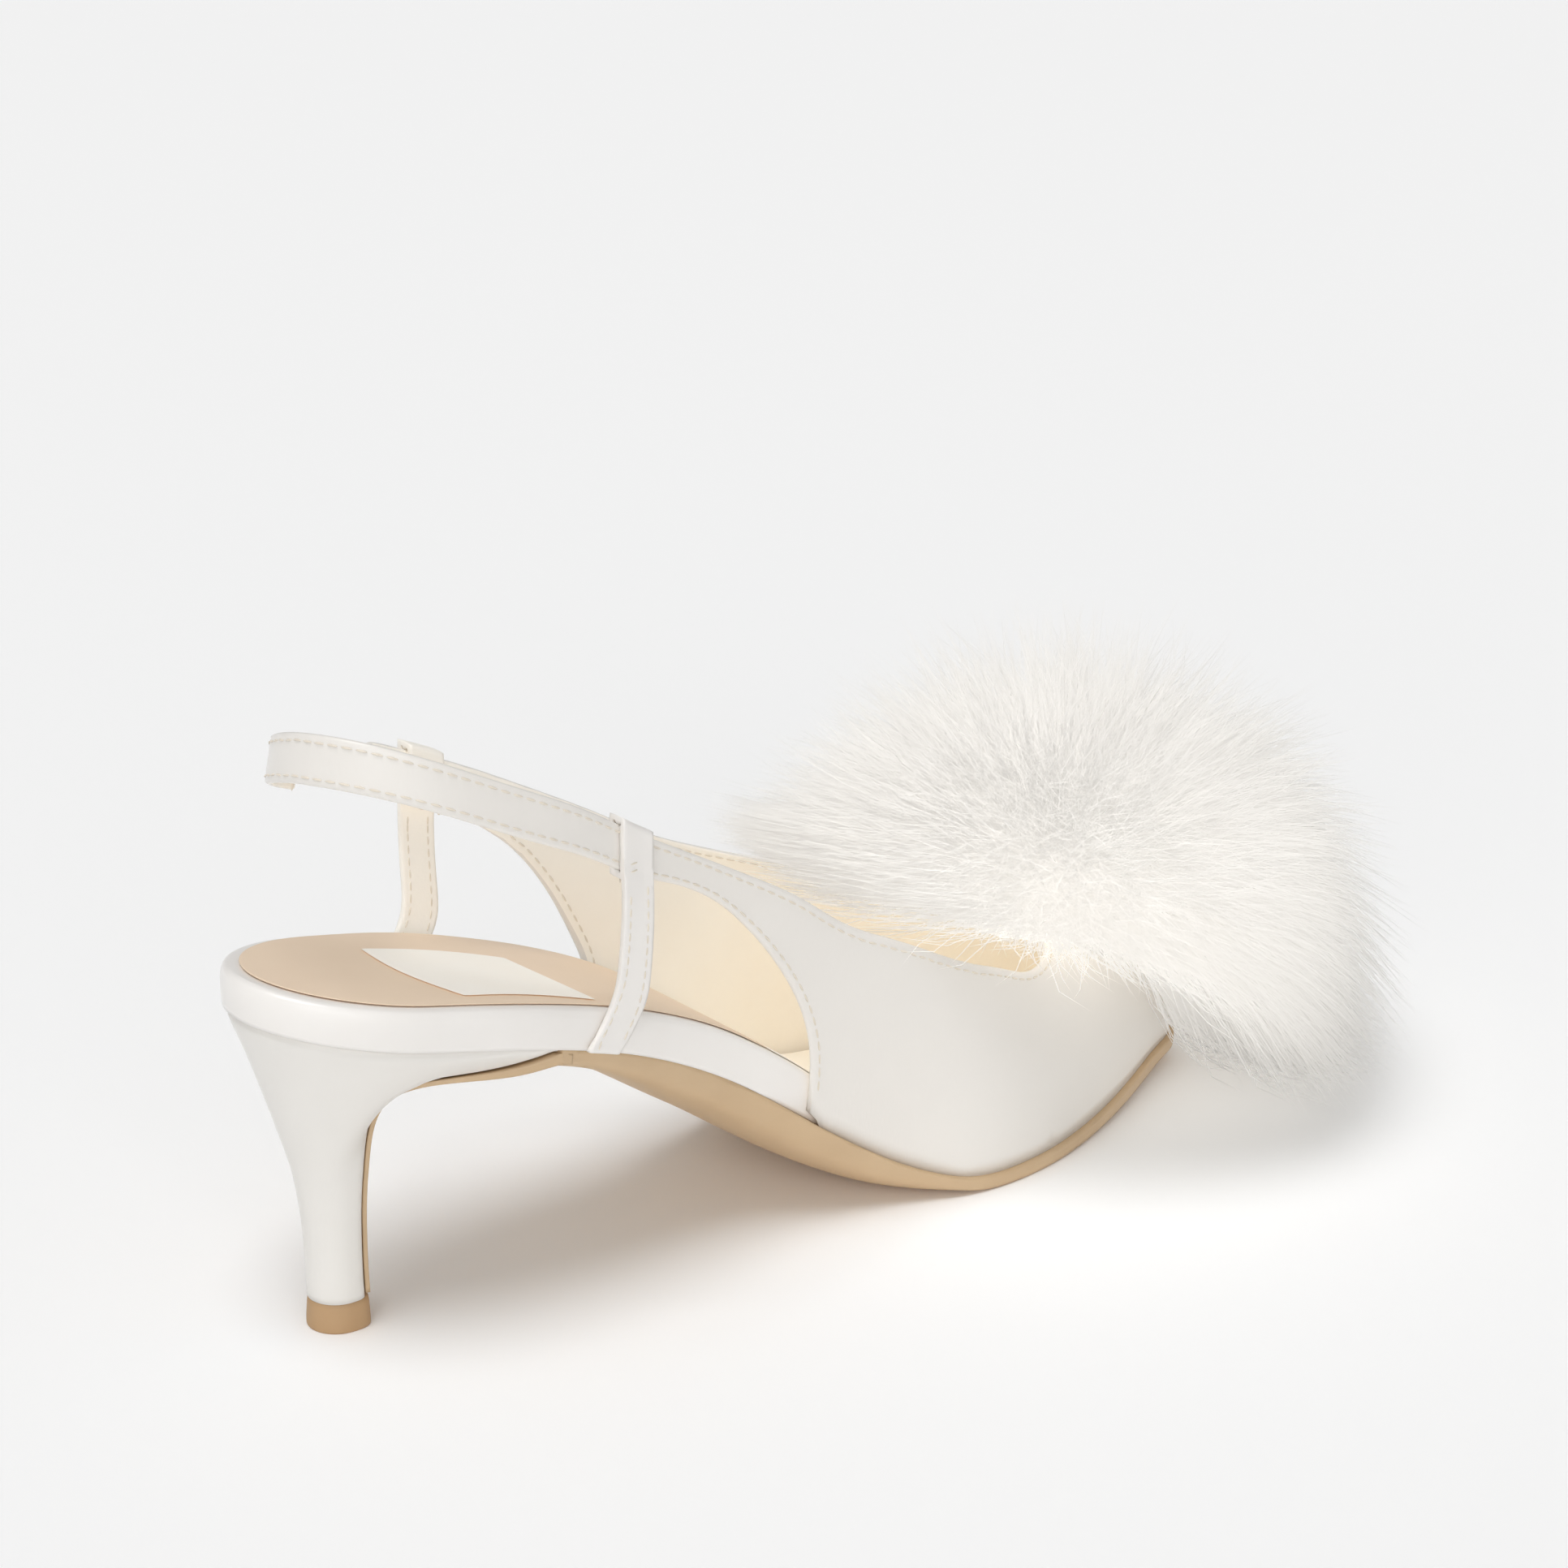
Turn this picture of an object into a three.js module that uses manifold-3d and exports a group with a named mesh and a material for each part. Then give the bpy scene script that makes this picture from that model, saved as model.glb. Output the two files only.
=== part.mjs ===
// A left slingback pump with a satin-covered heel and a large fur pompom on its pointed vamp.
// Millimetres, +X to the toe, +Y to the outer (lateral) side, +Z up.
// The origin is on the floor, at the middle of the heel's top piece.
import * as THREE from 'three';
import { mergeVertices } from 'three/addons/utils/BufferGeometryUtils.js';
import Module from 'manifold-3d';

const wasm = await Module();
wasm.setup();

// Driving sizes of the last
const shoeLength = 243;
const ballWidth = 72;
const seatHeight = 69.5;
const seatSetback = 20.9;
const seatRadius = 30;
const toeSpring = 4.2;
const toeRadius = 6;
const toeFrontRadius = 10;
const instepHeight = 150;

// Outsole
const treadThickness = 3;
const soleEdge = 2.8;
const waistBelly = 10.5;
const soleFlange = 1.3;
const waistInset = 0.6;
const breastLeather = 0.9;
const wingTip = 0.4;

// Footbed and what lies on it
const boardThickness = 8.5;
const foreBoardThickness = 4;
const boardRim = 1.6;
const boardBulge = 0.35;
const sockThickness = 1;
const sockGap = 0.5;
const sockInset = 2;
const padThickness = 0.5;

// Heel block and top piece
const topPieceHeight = 6;
const topPieceLength = 12;
const topPieceWidth = 12.6;
const heelInset = 0.8;
const heelLip = 1.8;
const heelFront = 57.4;
const shaftTop = 34;

// Upper, strap, stays and elastic
const upperWall = 1.6;
const upperLift = 0.45;
const strapWidth = 9.9;
const strapRise = 120;
const ankleWidth = 56;
const throatFront = 201;
const medialCorner = 119.6;
const lateralCorner = 100.6;
const stayWidth = 8;
const stayThickness = 1.2;
const loopRoom = 0.45;
const medialStayPlace = 74.3;
const lateralStayPlace = 60.2;
const stayLean = 7.6;
const elasticWidth = 7;
const elasticThickness = 1;

// Pompom
const pompomRadius = 44;
const pompomHeight = 27;
const lockLength = 31;
const lockRadius = 7.5;
const pompomPlace = 211;
const pompomSide = -4;
const pompomLift = 59;

// Clear space between two curved pieces
const clearance = 0.3;

// The last's plan and seam: along is a share of shoeLength, rise of the heel's rise,
// spring of toeSpring, medial and lateral of half the ballWidth.
const plan = [
  { along: 0.0, rise: 1.0, spring: 0, medial: 0.67, lateral: 0.67 },
  { along: 0.103, rise: 0.917, spring: 0, medial: 0.67, lateral: 0.71 },
  { along: 0.206, rise: 0.839, spring: 0, medial: 0.72, lateral: 0.72 },
  { along: 0.309, rise: 0.714, spring: 0, medial: 0.65, lateral: 0.7 },
  { along: 0.412, rise: 0.526, spring: 0, medial: 0.6, lateral: 0.71 },
  { along: 0.514, rise: 0.263, spring: 0, medial: 0.67, lateral: 0.81 },
  { along: 0.568, rise: 0.13, spring: 0, medial: 0.76, lateral: 0.89 },
  { along: 0.605, rise: 0.06, spring: 0, medial: 0.84, lateral: 0.955 },
  { along: 0.65, rise: 0.006, spring: 0, medial: 0.93, lateral: 1.02 },
  { along: 0.68, rise: 0, spring: 0, medial: 0.945, lateral: 1.03 },
  { along: 0.73, rise: 0, spring: 0, medial: 0.915, lateral: 0.99 },
  { along: 0.782, rise: 0, spring: 0.08, medial: 0.83, lateral: 0.86 },
  { along: 0.844, rise: 0, spring: 0.28, medial: 0.68, lateral: 0.665 },
  { along: 0.905, rise: 0, spring: 0.55, medial: 0.49, lateral: 0.43 },
  { along: 0.955, rise: 0, spring: 0.78, medial: 0.32, lateral: 0.21 },
  { along: 1.0, rise: 0, spring: 1, medial: 0.2, lateral: 0.05 },
];

// Depth of the outsole's middle under the seam: along is a share of shoeLength and depth
// of waistBelly.
const belly = [
  { along: 0.2, depth: 0.45 },
  { along: 0.245, depth: 0.52 },
  { along: 0.282, depth: 0.6 },
  { along: 0.316, depth: 0.79 },
  { along: 0.355, depth: 1.0 },
  { along: 0.412, depth: 1.18 },
  { along: 0.47, depth: 1.2 },
  { along: 0.514, depth: 1.13 },
  { along: 0.568, depth: 0.98 },
  { along: 0.605, depth: 0.72 },
  { along: 0.65, depth: 0.34 },
  { along: 0.68, depth: 0.31 },
  { along: 1.0, depth: 0.31 },
];

// Sections of the upper above the seam: crown is a share of instepHeight, medial and
// lateral are the widest half widths as shares of half the ballWidth, and a higher
// fullness squares the section's shoulders.
const sections = [
  { along: 0.17, crown: 1.13, medial: 0.75, lateral: 0.73, fullness: 2.5 },
  { along: 0.32, crown: 1.0, medial: 0.8, lateral: 0.79, fullness: 2.5 },
  { along: 0.415, crown: 0.87, medial: 0.82, lateral: 0.83, fullness: 2.5 },
  { along: 0.519, crown: 0.65, medial: 0.88, lateral: 0.94, fullness: 2.45 },
  { along: 0.588, crown: 0.553, medial: 0.95, lateral: 1.0, fullness: 2.4 },
  { along: 0.658, crown: 0.453, medial: 0.965, lateral: 1.04, fullness: 2.3 },
  { along: 0.72, crown: 0.36, medial: 0.93, lateral: 1.01, fullness: 2.25 },
  { along: 0.765, crown: 0.307, medial: 0.865, lateral: 0.91, fullness: 2.2 },
  { along: 0.827, crown: 0.247, medial: 0.73, lateral: 0.73, fullness: 2.2 },
  { along: 0.872, crown: 0.2, medial: 0.6, lateral: 0.57, fullness: 2.2 },
  { along: 0.93, crown: 0.137, medial: 0.41, lateral: 0.33, fullness: 2.2 },
  { along: 1.0, crown: 0.09, medial: 0.2, lateral: 0.05, fullness: 2.2 },
];

// Side-view edges of the upper: along is a share of shoeLength and height of strapRise
const medialTop = [
  { along: 0.312, height: 0.814 },
  { along: 0.396, height: 0.72 },
  { along: 0.479, height: 0.624 },
  { along: 0.526, height: 0.553 },
  { along: 0.588, height: 0.494 },
  { along: 0.664, height: 0.415 },
  { along: 0.724, height: 0.366 },
];
const medialOpening = [
  { along: 0.312, height: 0.735 },
  { along: 0.343, height: 0.712 },
  { along: 0.376, height: 0.679 },
  { along: 0.401, height: 0.644 },
  { along: 0.424, height: 0.596 },
  { along: 0.448, height: 0.538 },
  { along: 0.467, height: 0.479 },
  { along: 0.481, height: 0.425 },
  { along: 0.491, height: 0.362 },
  { along: 0.494, height: 0.3 },
  { along: 0.492, height: 0.212 },
];
const lateralTop = [
  { along: 0.193, height: 0.908 },
  { along: 0.286, height: 0.824 },
  { along: 0.345, height: 0.762 },
  { along: 0.42, height: 0.68 },
  { along: 0.5, height: 0.585 },
  { along: 0.59, height: 0.51 },
  { along: 0.66, height: 0.462 },
  { along: 0.725, height: 0.41 },
];
const lateralOpening = [
  { along: 0.193, height: 0.826 },
  { along: 0.27, height: 0.752 },
  { along: 0.31, height: 0.694 },
  { along: 0.333, height: 0.657 },
  { along: 0.357, height: 0.6 },
  { along: 0.378, height: 0.534 },
  { along: 0.395, height: 0.463 },
  { along: 0.409, height: 0.402 },
  { along: 0.414, height: 0.36 },
  { along: 0.414, height: 0.318 },
];

// The sling from the medial wing round the back: along is a share of seatSetback from the
// origin, across of half the ankleWidth and height of strapRise, all for the top edge.
const sling = [
  { along: 1.91, across: -1.0, height: 0.892 },
  { along: 1.2, across: -0.965, height: 0.952 },
  { along: 0.48, across: -0.87, height: 1.013 },
  { along: -0.02, across: -0.66, height: 1.046 },
  { along: -0.3, across: -0.357, height: 1.053 },
  { along: -0.37, across: 0.0, height: 1.039 },
  { along: -0.27, across: 0.34, height: 1.01 },
  { along: 0.02, across: 0.6, height: 0.975 },
  { along: 0.33, across: 0.74, height: 0.948 },
];

// Heel shaft: rise is a share of shaftTop, back and front of topPieceLength from the
// origin and half of topPieceWidth.
const shaft = [
  { rise: 0.185, back: -0.56, front: 0.27, half: 0.47 },
  { rise: 0.35, back: -0.57, front: 0.24, half: 0.475 },
  { rise: 0.6, back: -0.6, front: 0.22, half: 0.5 },
  { rise: 0.82, back: -0.67, front: 0.22, half: 0.54 },
  { rise: 1.0, back: -0.76, front: 0.25, half: 0.6 },
];

// Rise of the heel's breast from the shaft's top to the seat: reach is the share of the
// way forward, and lift of the way up.
const breast = [
  { reach: 0, lift: 0 },
  { reach: 0.02, lift: 0.32 },
  { reach: 0.05, lift: 0.503 },
  { reach: 0.09, lift: 0.625 },
  { reach: 0.15, lift: 0.719 },
  { reach: 0.24, lift: 0.78 },
  { reach: 0.35, lift: 0.813 },
  { reach: 0.5, lift: 0.834 },
  { reach: 0.66, lift: 0.856 },
  { reach: 0.83, lift: 0.9 },
  { reach: 1, lift: 1 },
];

const colours = {
  satin: 0xe8e5e0,
  boardSatin: 0xdcdcd8,
  lining: 0xe8dcc8,
  beige: 0xf0d9bf,
  cream: 0xf7f0e4,
  leather: 0xc9ae8c,
  topPiece: 0xb8956c,
  fur: 0xefede9,
};

const clamp = (value, low, high) => Math.min(high, Math.max(low, value));
const mix = (a, b, t) => a + (b - a) * t;
const smoothStep = (t) => {
  const c = clamp(t, 0, 1);
  return c * c * (3 - 2 * c);
};

// A smooth curve through a table's rows that never overshoots them
function curve(rows, key, value) {
  const x = rows.map((row) => row[key]);
  const y = rows.map((row) => row[value]);
  const last = x.length - 1;
  const slope = [];
  for (let i = 0; i < last; i += 1) slope.push((y[i + 1] - y[i]) / (x[i + 1] - x[i] || 1e-9));
  const tangent = [slope[0]];
  for (let i = 1; i < last; i += 1) {
    const product = slope[i - 1] * slope[i];
    tangent.push(product > 0 ? (2 * product) / (slope[i - 1] + slope[i]) : 0);
  }
  tangent.push(slope[last - 1]);
  return (at) => {
    const t = clamp(at, x[0], x[last]);
    let i = 0;
    while (i < last - 1 && t > x[i + 1]) i += 1;
    const h = x[i + 1] - x[i];
    const u = (t - x[i]) / h;
    const a = y[i] * (1 + 2 * u) + h * tangent[i] * u;
    const b = y[i + 1] * (3 - 2 * u) - h * tangent[i + 1] * (1 - u);
    return a * (1 - u) * (1 - u) + b * u * u;
  };
}

// A smooth curve through points at equal steps of t, for outlines that turn back
function pathCurve(points) {
  const spline = new THREE.CatmullRomCurve3(points, false, 'centripetal');
  return (t) => spline.getPoint(clamp(t, 0, 1));
}

const alongOf = (x) => (x + seatSetback) / shoeLength;
const planRise = curve(plan, 'along', 'rise');
const planSpring = curve(plan, 'along', 'spring');
const planMedial = curve(plan, 'along', 'medial');
const planLateral = curve(plan, 'along', 'lateral');
const bellyDepth = curve(belly, 'along', 'depth');
const toeX = shoeLength - seatSetback;

// Height of the seam between outsole and footbed
function seam(x) {
  const a = alongOf(x);
  return treadThickness + (seatHeight - treadThickness) * planRise(a) + toeSpring * planSpring(a);
}

// Share of the width left by the round back of the seat and the round toe
function endCap(s) {
  if (s < seatRadius) return Math.sqrt(Math.max(0, 1 - ((seatRadius - s) / seatRadius) ** 2));
  const beyond = s - (shoeLength - toeRadius);
  return beyond > 0 ? Math.sqrt(Math.max(0, 1 - (beyond / toeRadius) ** 2)) : 1;
}

// Footprint of the last at x: y of one side, -1 medial or 1 lateral
function footprint(x, side) {
  const s = clamp(x + seatSetback, 0, shoeLength);
  const a = s / shoeLength;
  const medial = (planMedial(a) * ballWidth) / 2;
  const lateral = (planLateral(a) * ballWidth) / 2;
  return (lateral - medial) / 2 + (side * endCap(s) * (lateral + medial)) / 2;
}

// Rows of the whole footprint: pieces that lie on each other share them
const planRows = 42;

// A row position from 0 at the back to 1 at the toe, close together at both round ends
const rowX = (u) => (shoeLength * (1 - Math.cos(Math.PI * u))) / 2 - seatSetback;
const rowOf = (x) => Math.acos(clamp(1 - (2 * (x + seatSetback)) / shoeLength, -1, 1)) / Math.PI;

// The shared rows between two places, with both places as the first and last row
function rowsBetween(from, to) {
  const [first, last] = [rowOf(from), rowOf(to)];
  const rows = [first];
  for (let k = 1; k < planRows; k += 1) {
    const u = k / planRows;
    if (u > first + 0.3 / planRows && u < last - 0.3 / planRows) rows.push(u);
  }
  return [...rows, last];
}

// The footprint's edge at row u, moved outwards by outset along its own normal
function edgePoint(u, side, outset) {
  const step = 0.002;
  const ua = clamp(u - step, 0, 1);
  const ub = clamp(u + step, 0, 1);
  let dx = rowX(ub) - rowX(ua);
  let dy = footprint(rowX(ub), side) - footprint(rowX(ua), side);
  if (u < step || u > 1 - step) {
    dx = 0;
    dy = u < step ? side : -side;
  }
  const length = Math.hypot(dx, dy) || 1;
  const x = rowX(u) - (side * outset * dy) / length;
  const y = footprint(rowX(u), side) + (side * outset * dx) / length;
  return { x, y };
}

// 0 behind a side's corner of the opening, 1 in the forepart where the upper takes over
function forepart(x, side) {
  const corner = side < 0 ? medialCorner : lateralCorner;
  return smoothStep((x + seatSetback - corner + 4) / 34);
}

// How far the upper's outer face stands out from the footprint
const standOff = (x, side) => (upperWall + clearance) * (1 - forepart(x, side));

// A sheet of points in rows and columns, with triangles between them
function gridSheet(rows) {
  const points = [];
  const triangles = [];
  const width = rows[0].length;
  rows.forEach((row) => points.push(...row));
  for (let i = 0; i + 1 < rows.length; i += 1) {
    for (let j = 0; j + 1 < width; j += 1) {
      const a = i * width + j;
      const b = a + width;
      triangles.push([a, b, a + 1], [b, b + 1, a + 1]);
    }
  }
  return { points, triangles };
}

// A closed body between two sheets of the same layout, its open edges joined by walls
function closedBody(outer, inner) {
  const count = outer.points.length;
  const points = [...outer.points, ...inner.points];
  const index = [];
  const edges = new Map();
  outer.triangles.forEach(([a, b, c]) => {
    index.push(a, b, c, a + count, c + count, b + count);
    [[a, b], [b, c], [c, a]].forEach(([p, q]) => {
      const back = `${q},${p}`;
      if (edges.has(back)) edges.delete(back);
      else edges.set(`${p},${q}`, [p, q]);
    });
  });
  edges.forEach(([p, q]) => index.push(q, p, p + count, q, p + count, q + count));
  return bodyFrom(points, index);
}

// A geometry with its equal points merged and its flat triangles dropped
function bodyFrom(points, index) {
  const keys = new Map();
  const kept = [];
  const place = points.map((p) => {
    const key = [p.x, p.y, p.z].map((v) => Math.round(v * 2000)).join();
    if (!keys.has(key)) {
      keys.set(key, kept.length / 3);
      kept.push(p.x, p.y, p.z);
    }
    return keys.get(key);
  });
  const solid = [];
  for (let i = 0; i < index.length; i += 3) {
    const [a, b, c] = [place[index[i]], place[index[i + 1]], place[index[i + 2]]];
    if (a !== b && b !== c && a !== c) solid.push(a, b, c);
  }
  const geometry = new THREE.BufferGeometry();
  geometry.setAttribute('position', new THREE.Float32BufferAttribute(kept, 3));
  geometry.setIndex(solid);
  return outward(geometry);
}

// Turns a geometry's faces round when it encloses a negative volume
function outward(geometry) {
  const p = geometry.attributes.position;
  const index = geometry.index.array;
  const [a, b, c] = [new THREE.Vector3(), new THREE.Vector3(), new THREE.Vector3()];
  let volume = 0;
  for (let i = 0; i < index.length; i += 3) {
    a.fromBufferAttribute(p, index[i]);
    b.fromBufferAttribute(p, index[i + 1]);
    c.fromBufferAttribute(p, index[i + 2]);
    volume += a.dot(b.cross(c));
  }
  if (volume < 0) {
    for (let i = 0; i < index.length; i += 3) {
      const swap = index[i];
      index[i] = index[i + 1];
      index[i + 1] = swap;
    }
  }
  return geometry;
}

function toManifold(geometry) {
  const bare = geometry.clone();
  bare.deleteAttribute('normal');
  bare.deleteAttribute('uv');
  const merged = mergeVertices(bare, 1e-4);
  return new wasm.Manifold(new wasm.Mesh({
    numProp: 3,
    vertProperties: new Float32Array(merged.attributes.position.array),
    triVerts: new Uint32Array(merged.index.array),
  }));
}

function fromManifold(solid) {
  const mesh = solid.getMesh();
  const geometry = new THREE.BufferGeometry();
  const position = new THREE.Float32BufferAttribute(mesh.vertProperties, 3);
  geometry.setAttribute('position', position);
  geometry.setIndex(Array.from(mesh.triVerts));
  return geometry;
}

// A copy of a sheet moved along its own normals, away from them by depth
function offsetSheet(sheet, depth) {
  const normals = sheet.points.map(() => new THREE.Vector3());
  const [e, f] = [new THREE.Vector3(), new THREE.Vector3()];
  sheet.triangles.forEach(([a, b, c]) => {
    e.subVectors(sheet.points[b], sheet.points[a]);
    f.subVectors(sheet.points[c], sheet.points[a]);
    const n = e.cross(f);
    [a, b, c].forEach((i) => normals[i].add(n));
  });
  const points = sheet.points.map((p, i) => p.clone().addScaledVector(normals[i].normalize(), -depth));
  return { points, triangles: sheet.triangles };
}

// A plate on the footprint: its side and rim are given as steps of outset and height, and
// its flat top and bottom are filled between the two sides.
function footprintPlate({ from, to, outset, bottom, profile, columns }) {
  const topRows = [];
  const bottomRows = [];
  rowsBetween(from, to).forEach((u) => {
    const x = rowX(u);
    const steps = profile(x);
    const sides = [-1, 1].map((side) => steps.map((step) => {
      const edge = edgePoint(u, side, outset(x, side) + step.out);
      return new THREE.Vector3(edge.x, edge.y, bottom(edge.x, edge.y) + step.up);
    }));
    const top = [...sides[0]];
    const [inRight, inLeft] = [sides[0].at(-1), sides[1].at(-1)];
    for (let j = 1; j < columns; j += 1) top.push(inRight.clone().lerp(inLeft, j / columns));
    top.push(...sides[1].reverse());
    topRows.push(top);
    const [right, left] = [top[0], top.at(-1)];
    const low = top.map((point, j) => {
      const p = right.clone().lerp(left, clamp((j - steps.length + 1) / columns, 0, 1));
      return new THREE.Vector3(p.x, p.y, bottom(p.x, p.y));
    });
    bottomRows.push(low);
  });
  return closedBody(gridSheet(topRows), gridSheet(bottomRows));
}

const boardRise = curve([
  { along: 0, thick: 1 },
  { along: 0.25, thick: 1.02 },
  { along: 0.34, thick: 1.1 },
  { along: 0.41, thick: 1.22 },
  { along: 0.5, thick: 1.3 },
  { along: 0.56, thick: 0.87 },
  { along: 0.63, thick: 0.3 },
  { along: 0.72, thick: 0 },
  { along: 1, thick: 0 },
], 'along', 'thick');

// Height of the footbed's top over its bottom, which falls to the thinner board in front
function boardHeight(x) {
  const share = boardRise(alongOf(x));
  return foreBoardThickness + (boardThickness - foreBoardThickness) * Math.min(share, 1)
    + boardThickness * Math.max(share - 1, 0);
}

const boardInset = (x, side) => -(upperWall + clearance * 1.6) * forepart(x, side);
const boardBottom = (x) => seam(x) + clearance;
const boardTop = (x) => boardBottom(x) + boardHeight(x);

function footbedBody() {
  return footprintPlate({
    from: -seatSetback,
    to: toeX,
    columns: 4,
    outset: boardInset,
    bottom: boardBottom,
    profile: (x) => {
      const rise = boardHeight(x);
      const bulge = boardBulge * smoothStep((lateralCorner - 10 - seatSetback - x) / 20);
      return [
        { out: 0, up: 0 },
        { out: bulge, up: rise * 0.4 },
        { out: bulge * 0.3, up: rise - boardRim },
        { out: -boardRim * 0.35, up: rise - boardRim * 0.3 },
        { out: -boardRim, up: rise },
      ];
    },
  });
}

// Where the rear sock ends and the forepart's sock begins
const sockJoin = rowX(20 / planRows);

function sockBody(from, to) {
  return footprintPlate({
    from,
    to,
    columns: 4,
    outset: (x, side) => boardInset(x, side) - sockInset,
    bottom: (x) => boardTop(x) + sockGap,
    profile: () => [
      { out: 0, up: 0 },
      { out: 0, up: sockThickness * 0.6 },
      { out: -0.5, up: sockThickness },
    ],
  });
}

// The cream patch on the rear sock, with a curved rear end
const padBow = 2.5;
const padCorners = [
  { along: 0.147, across: 0.34 },
  { along: 0.273, across: 0.2 },
  { along: 0.288, across: -0.53 },
  { along: 0.162, across: -0.51 },
];

function sockPadBody() {
  const rows = 7;
  const columns = 4;
  const at = (corner) => new THREE.Vector2(
    corner.along * shoeLength - seatSetback,
    (corner.across * ballWidth) / 2,
  );
  const [a, b, c, d] = padCorners.map(at);
  const grid = [];
  for (let i = 0; i <= rows; i += 1) {
    const row = [];
    for (let j = 0; j <= columns; j += 1) {
      const bow = Math.sin((Math.PI * j) / columns) * padBow * (1 - i / rows);
      const near = a.clone().lerp(b, i / rows);
      const far = d.clone().lerp(c, i / rows);
      const p = near.lerp(far, j / columns);
      row.push(new THREE.Vector3(p.x - bow, p.y, 0));
    }
    grid.push(row);
  }
  const base = (p) => boardTop(p.x) + sockThickness + 2 * sockGap;
  const lower = grid.map((row) => row.map((p) => new THREE.Vector3(p.x, p.y, base(p))));
  const upper = lower.map((row) => row.map((p) => new THREE.Vector3(p.x, p.y, p.z + padThickness)));
  return closedBody(gridSheet(upper), gridSheet(lower));
}

// Depth of the outsole under the seam, deepest at the middle of its width
function soleDepth(x, across) {
  const centre = Math.max(waistBelly * bellyDepth(alongOf(x)), soleEdge);
  const round = (1 - Math.abs(across) ** 2.6) ** (1 / 2.2);
  return soleEdge + (centre - soleEdge) * round;
}

// The outsole is inset under the bare waist and stands out beyond the upper in front
function soleOutset(x, side) {
  const corner = side < 0 ? medialCorner : lateralCorner;
  const wide = smoothStep((x + seatSetback - corner + 14) / 20);
  return mix(-waistInset, standOff(x, side) + soleFlange, wide);
}

// Lowest height of the outsole, kept flat on the floor under the ball of the foot
function soleBottom(x, across) {
  const depth = soleDepth(x, across);
  return Math.max(seam(x) - depth, toeSpring * planSpring(alongOf(x)));
}

function outsoleForm() {
  const columns = 10;
  const top = [];
  const low = [];
  rowsBetween(heelFront - seatSetback + clearance, toeX).forEach((u) => {
    const [right, left] = [-1, 1].map((side) => edgePoint(u, side, soleOutset(rowX(u), side)));
    const topRow = [];
    const lowRow = [];
    for (let j = 0; j <= columns; j += 1) {
      const across = -Math.cos((Math.PI * j) / columns);
      const x = mix(right.x, left.x, (across + 1) / 2);
      const y = mix(right.y, left.y, (across + 1) / 2);
      topRow.push(new THREE.Vector3(x, y, seam(x)));
      lowRow.push(new THREE.Vector3(x, y, soleBottom(x, across)));
    }
    top.push(topRow);
    low.push(lowRow);
  });
  return closedBody(gridSheet(top), gridSheet(low));
}

const shaftBack = curve(shaft, 'rise', 'back');
const shaftFront = curve(shaft, 'rise', 'front');
const shaftHalf = curve(shaft, 'rise', 'half');

// A heel section: round at the back and squarer at the breast, at an angle from the front
function shaftPoint(rise, angle) {
  const back = shaftBack(rise) * topPieceLength;
  const front = shaftFront(rise) * topPieceLength;
  const half = shaftHalf(rise) * topPieceWidth;
  const middle = back + half;
  const c = Math.cos(angle);
  const s = Math.sin(angle);
  const power = c > 0 ? 0.55 : 1;
  const x = middle + Math.sign(c) * Math.abs(c) ** power * (c > 0 ? front - middle : middle - back);
  const y = Math.sign(s) * Math.abs(s) ** power * half;
  return new THREE.Vector3(x, y, rise * shaftTop);
}

// The share of a half turn from the heel's front to its two front corners
const cornerTurn = 0.2;

// The seat of the heel follows the footbed's outline back from the heel's front end
function seatPoint(angle, drop) {
  const frontX = heelFront - seatSetback;
  const turn = Math.abs(angle) / Math.PI;
  const side = angle < 0 ? -1 : 1;
  if (turn < cornerTurn) {
    const y = footprint(frontX, side) - side * heelInset;
    return new THREE.Vector3(frontX, (y * turn) / cornerTurn, seam(frontX) - drop);
  }
  const u = mix(rowOf(frontX), 0, (turn - cornerTurn) / (1 - cornerTurn));
  const edge = edgePoint(u, side, -heelInset);
  return new THREE.Vector3(edge.x, edge.y, seam(edge.x) - drop);
}

// The heel's depth under the footbed at its seat: a thin lip that fades out to the wing's
// two front corners, with the outsole's belly between them
function lipDepth(angle) {
  const turn = Math.abs(angle) / Math.PI;
  if (turn > cornerTurn) return mix(wingTip, heelLip, smoothStep((turn - cornerTurn) / 0.25));
  const deep = waistBelly * bellyDepth(heelFront / shoeLength) - soleEdge;
  return wingTip + Math.max(deep, 0) * (1 - (turn / cornerTurn) ** 2);
}

const breastLift = curve(breast, 'reach', 'lift');

// The flared part of the heel from the shaft's top, at share 0, to the seat's lip at 1
function flarePoint(share, angle) {
  const from = shaftPoint(1, angle);
  const to = seatPoint(angle, lipDepth(angle));
  const turn = Math.abs(angle) / Math.PI;
  const front = smoothStep((0.72 - turn) / (0.72 - cornerTurn)) ** 1.5;
  const lift = mix(1 - (1 - share) ** 1.15, breastLift(share), front);
  const p = from.clone().lerp(to, share);
  p.z = mix(from.z, to.z, lift);
  return p;
}

const flareShares = [0.02, 0.05, 0.09, 0.15, 0.24, 0.35, 0.5, 0.66, 0.83, 1];
const heelAngles = 30;

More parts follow.
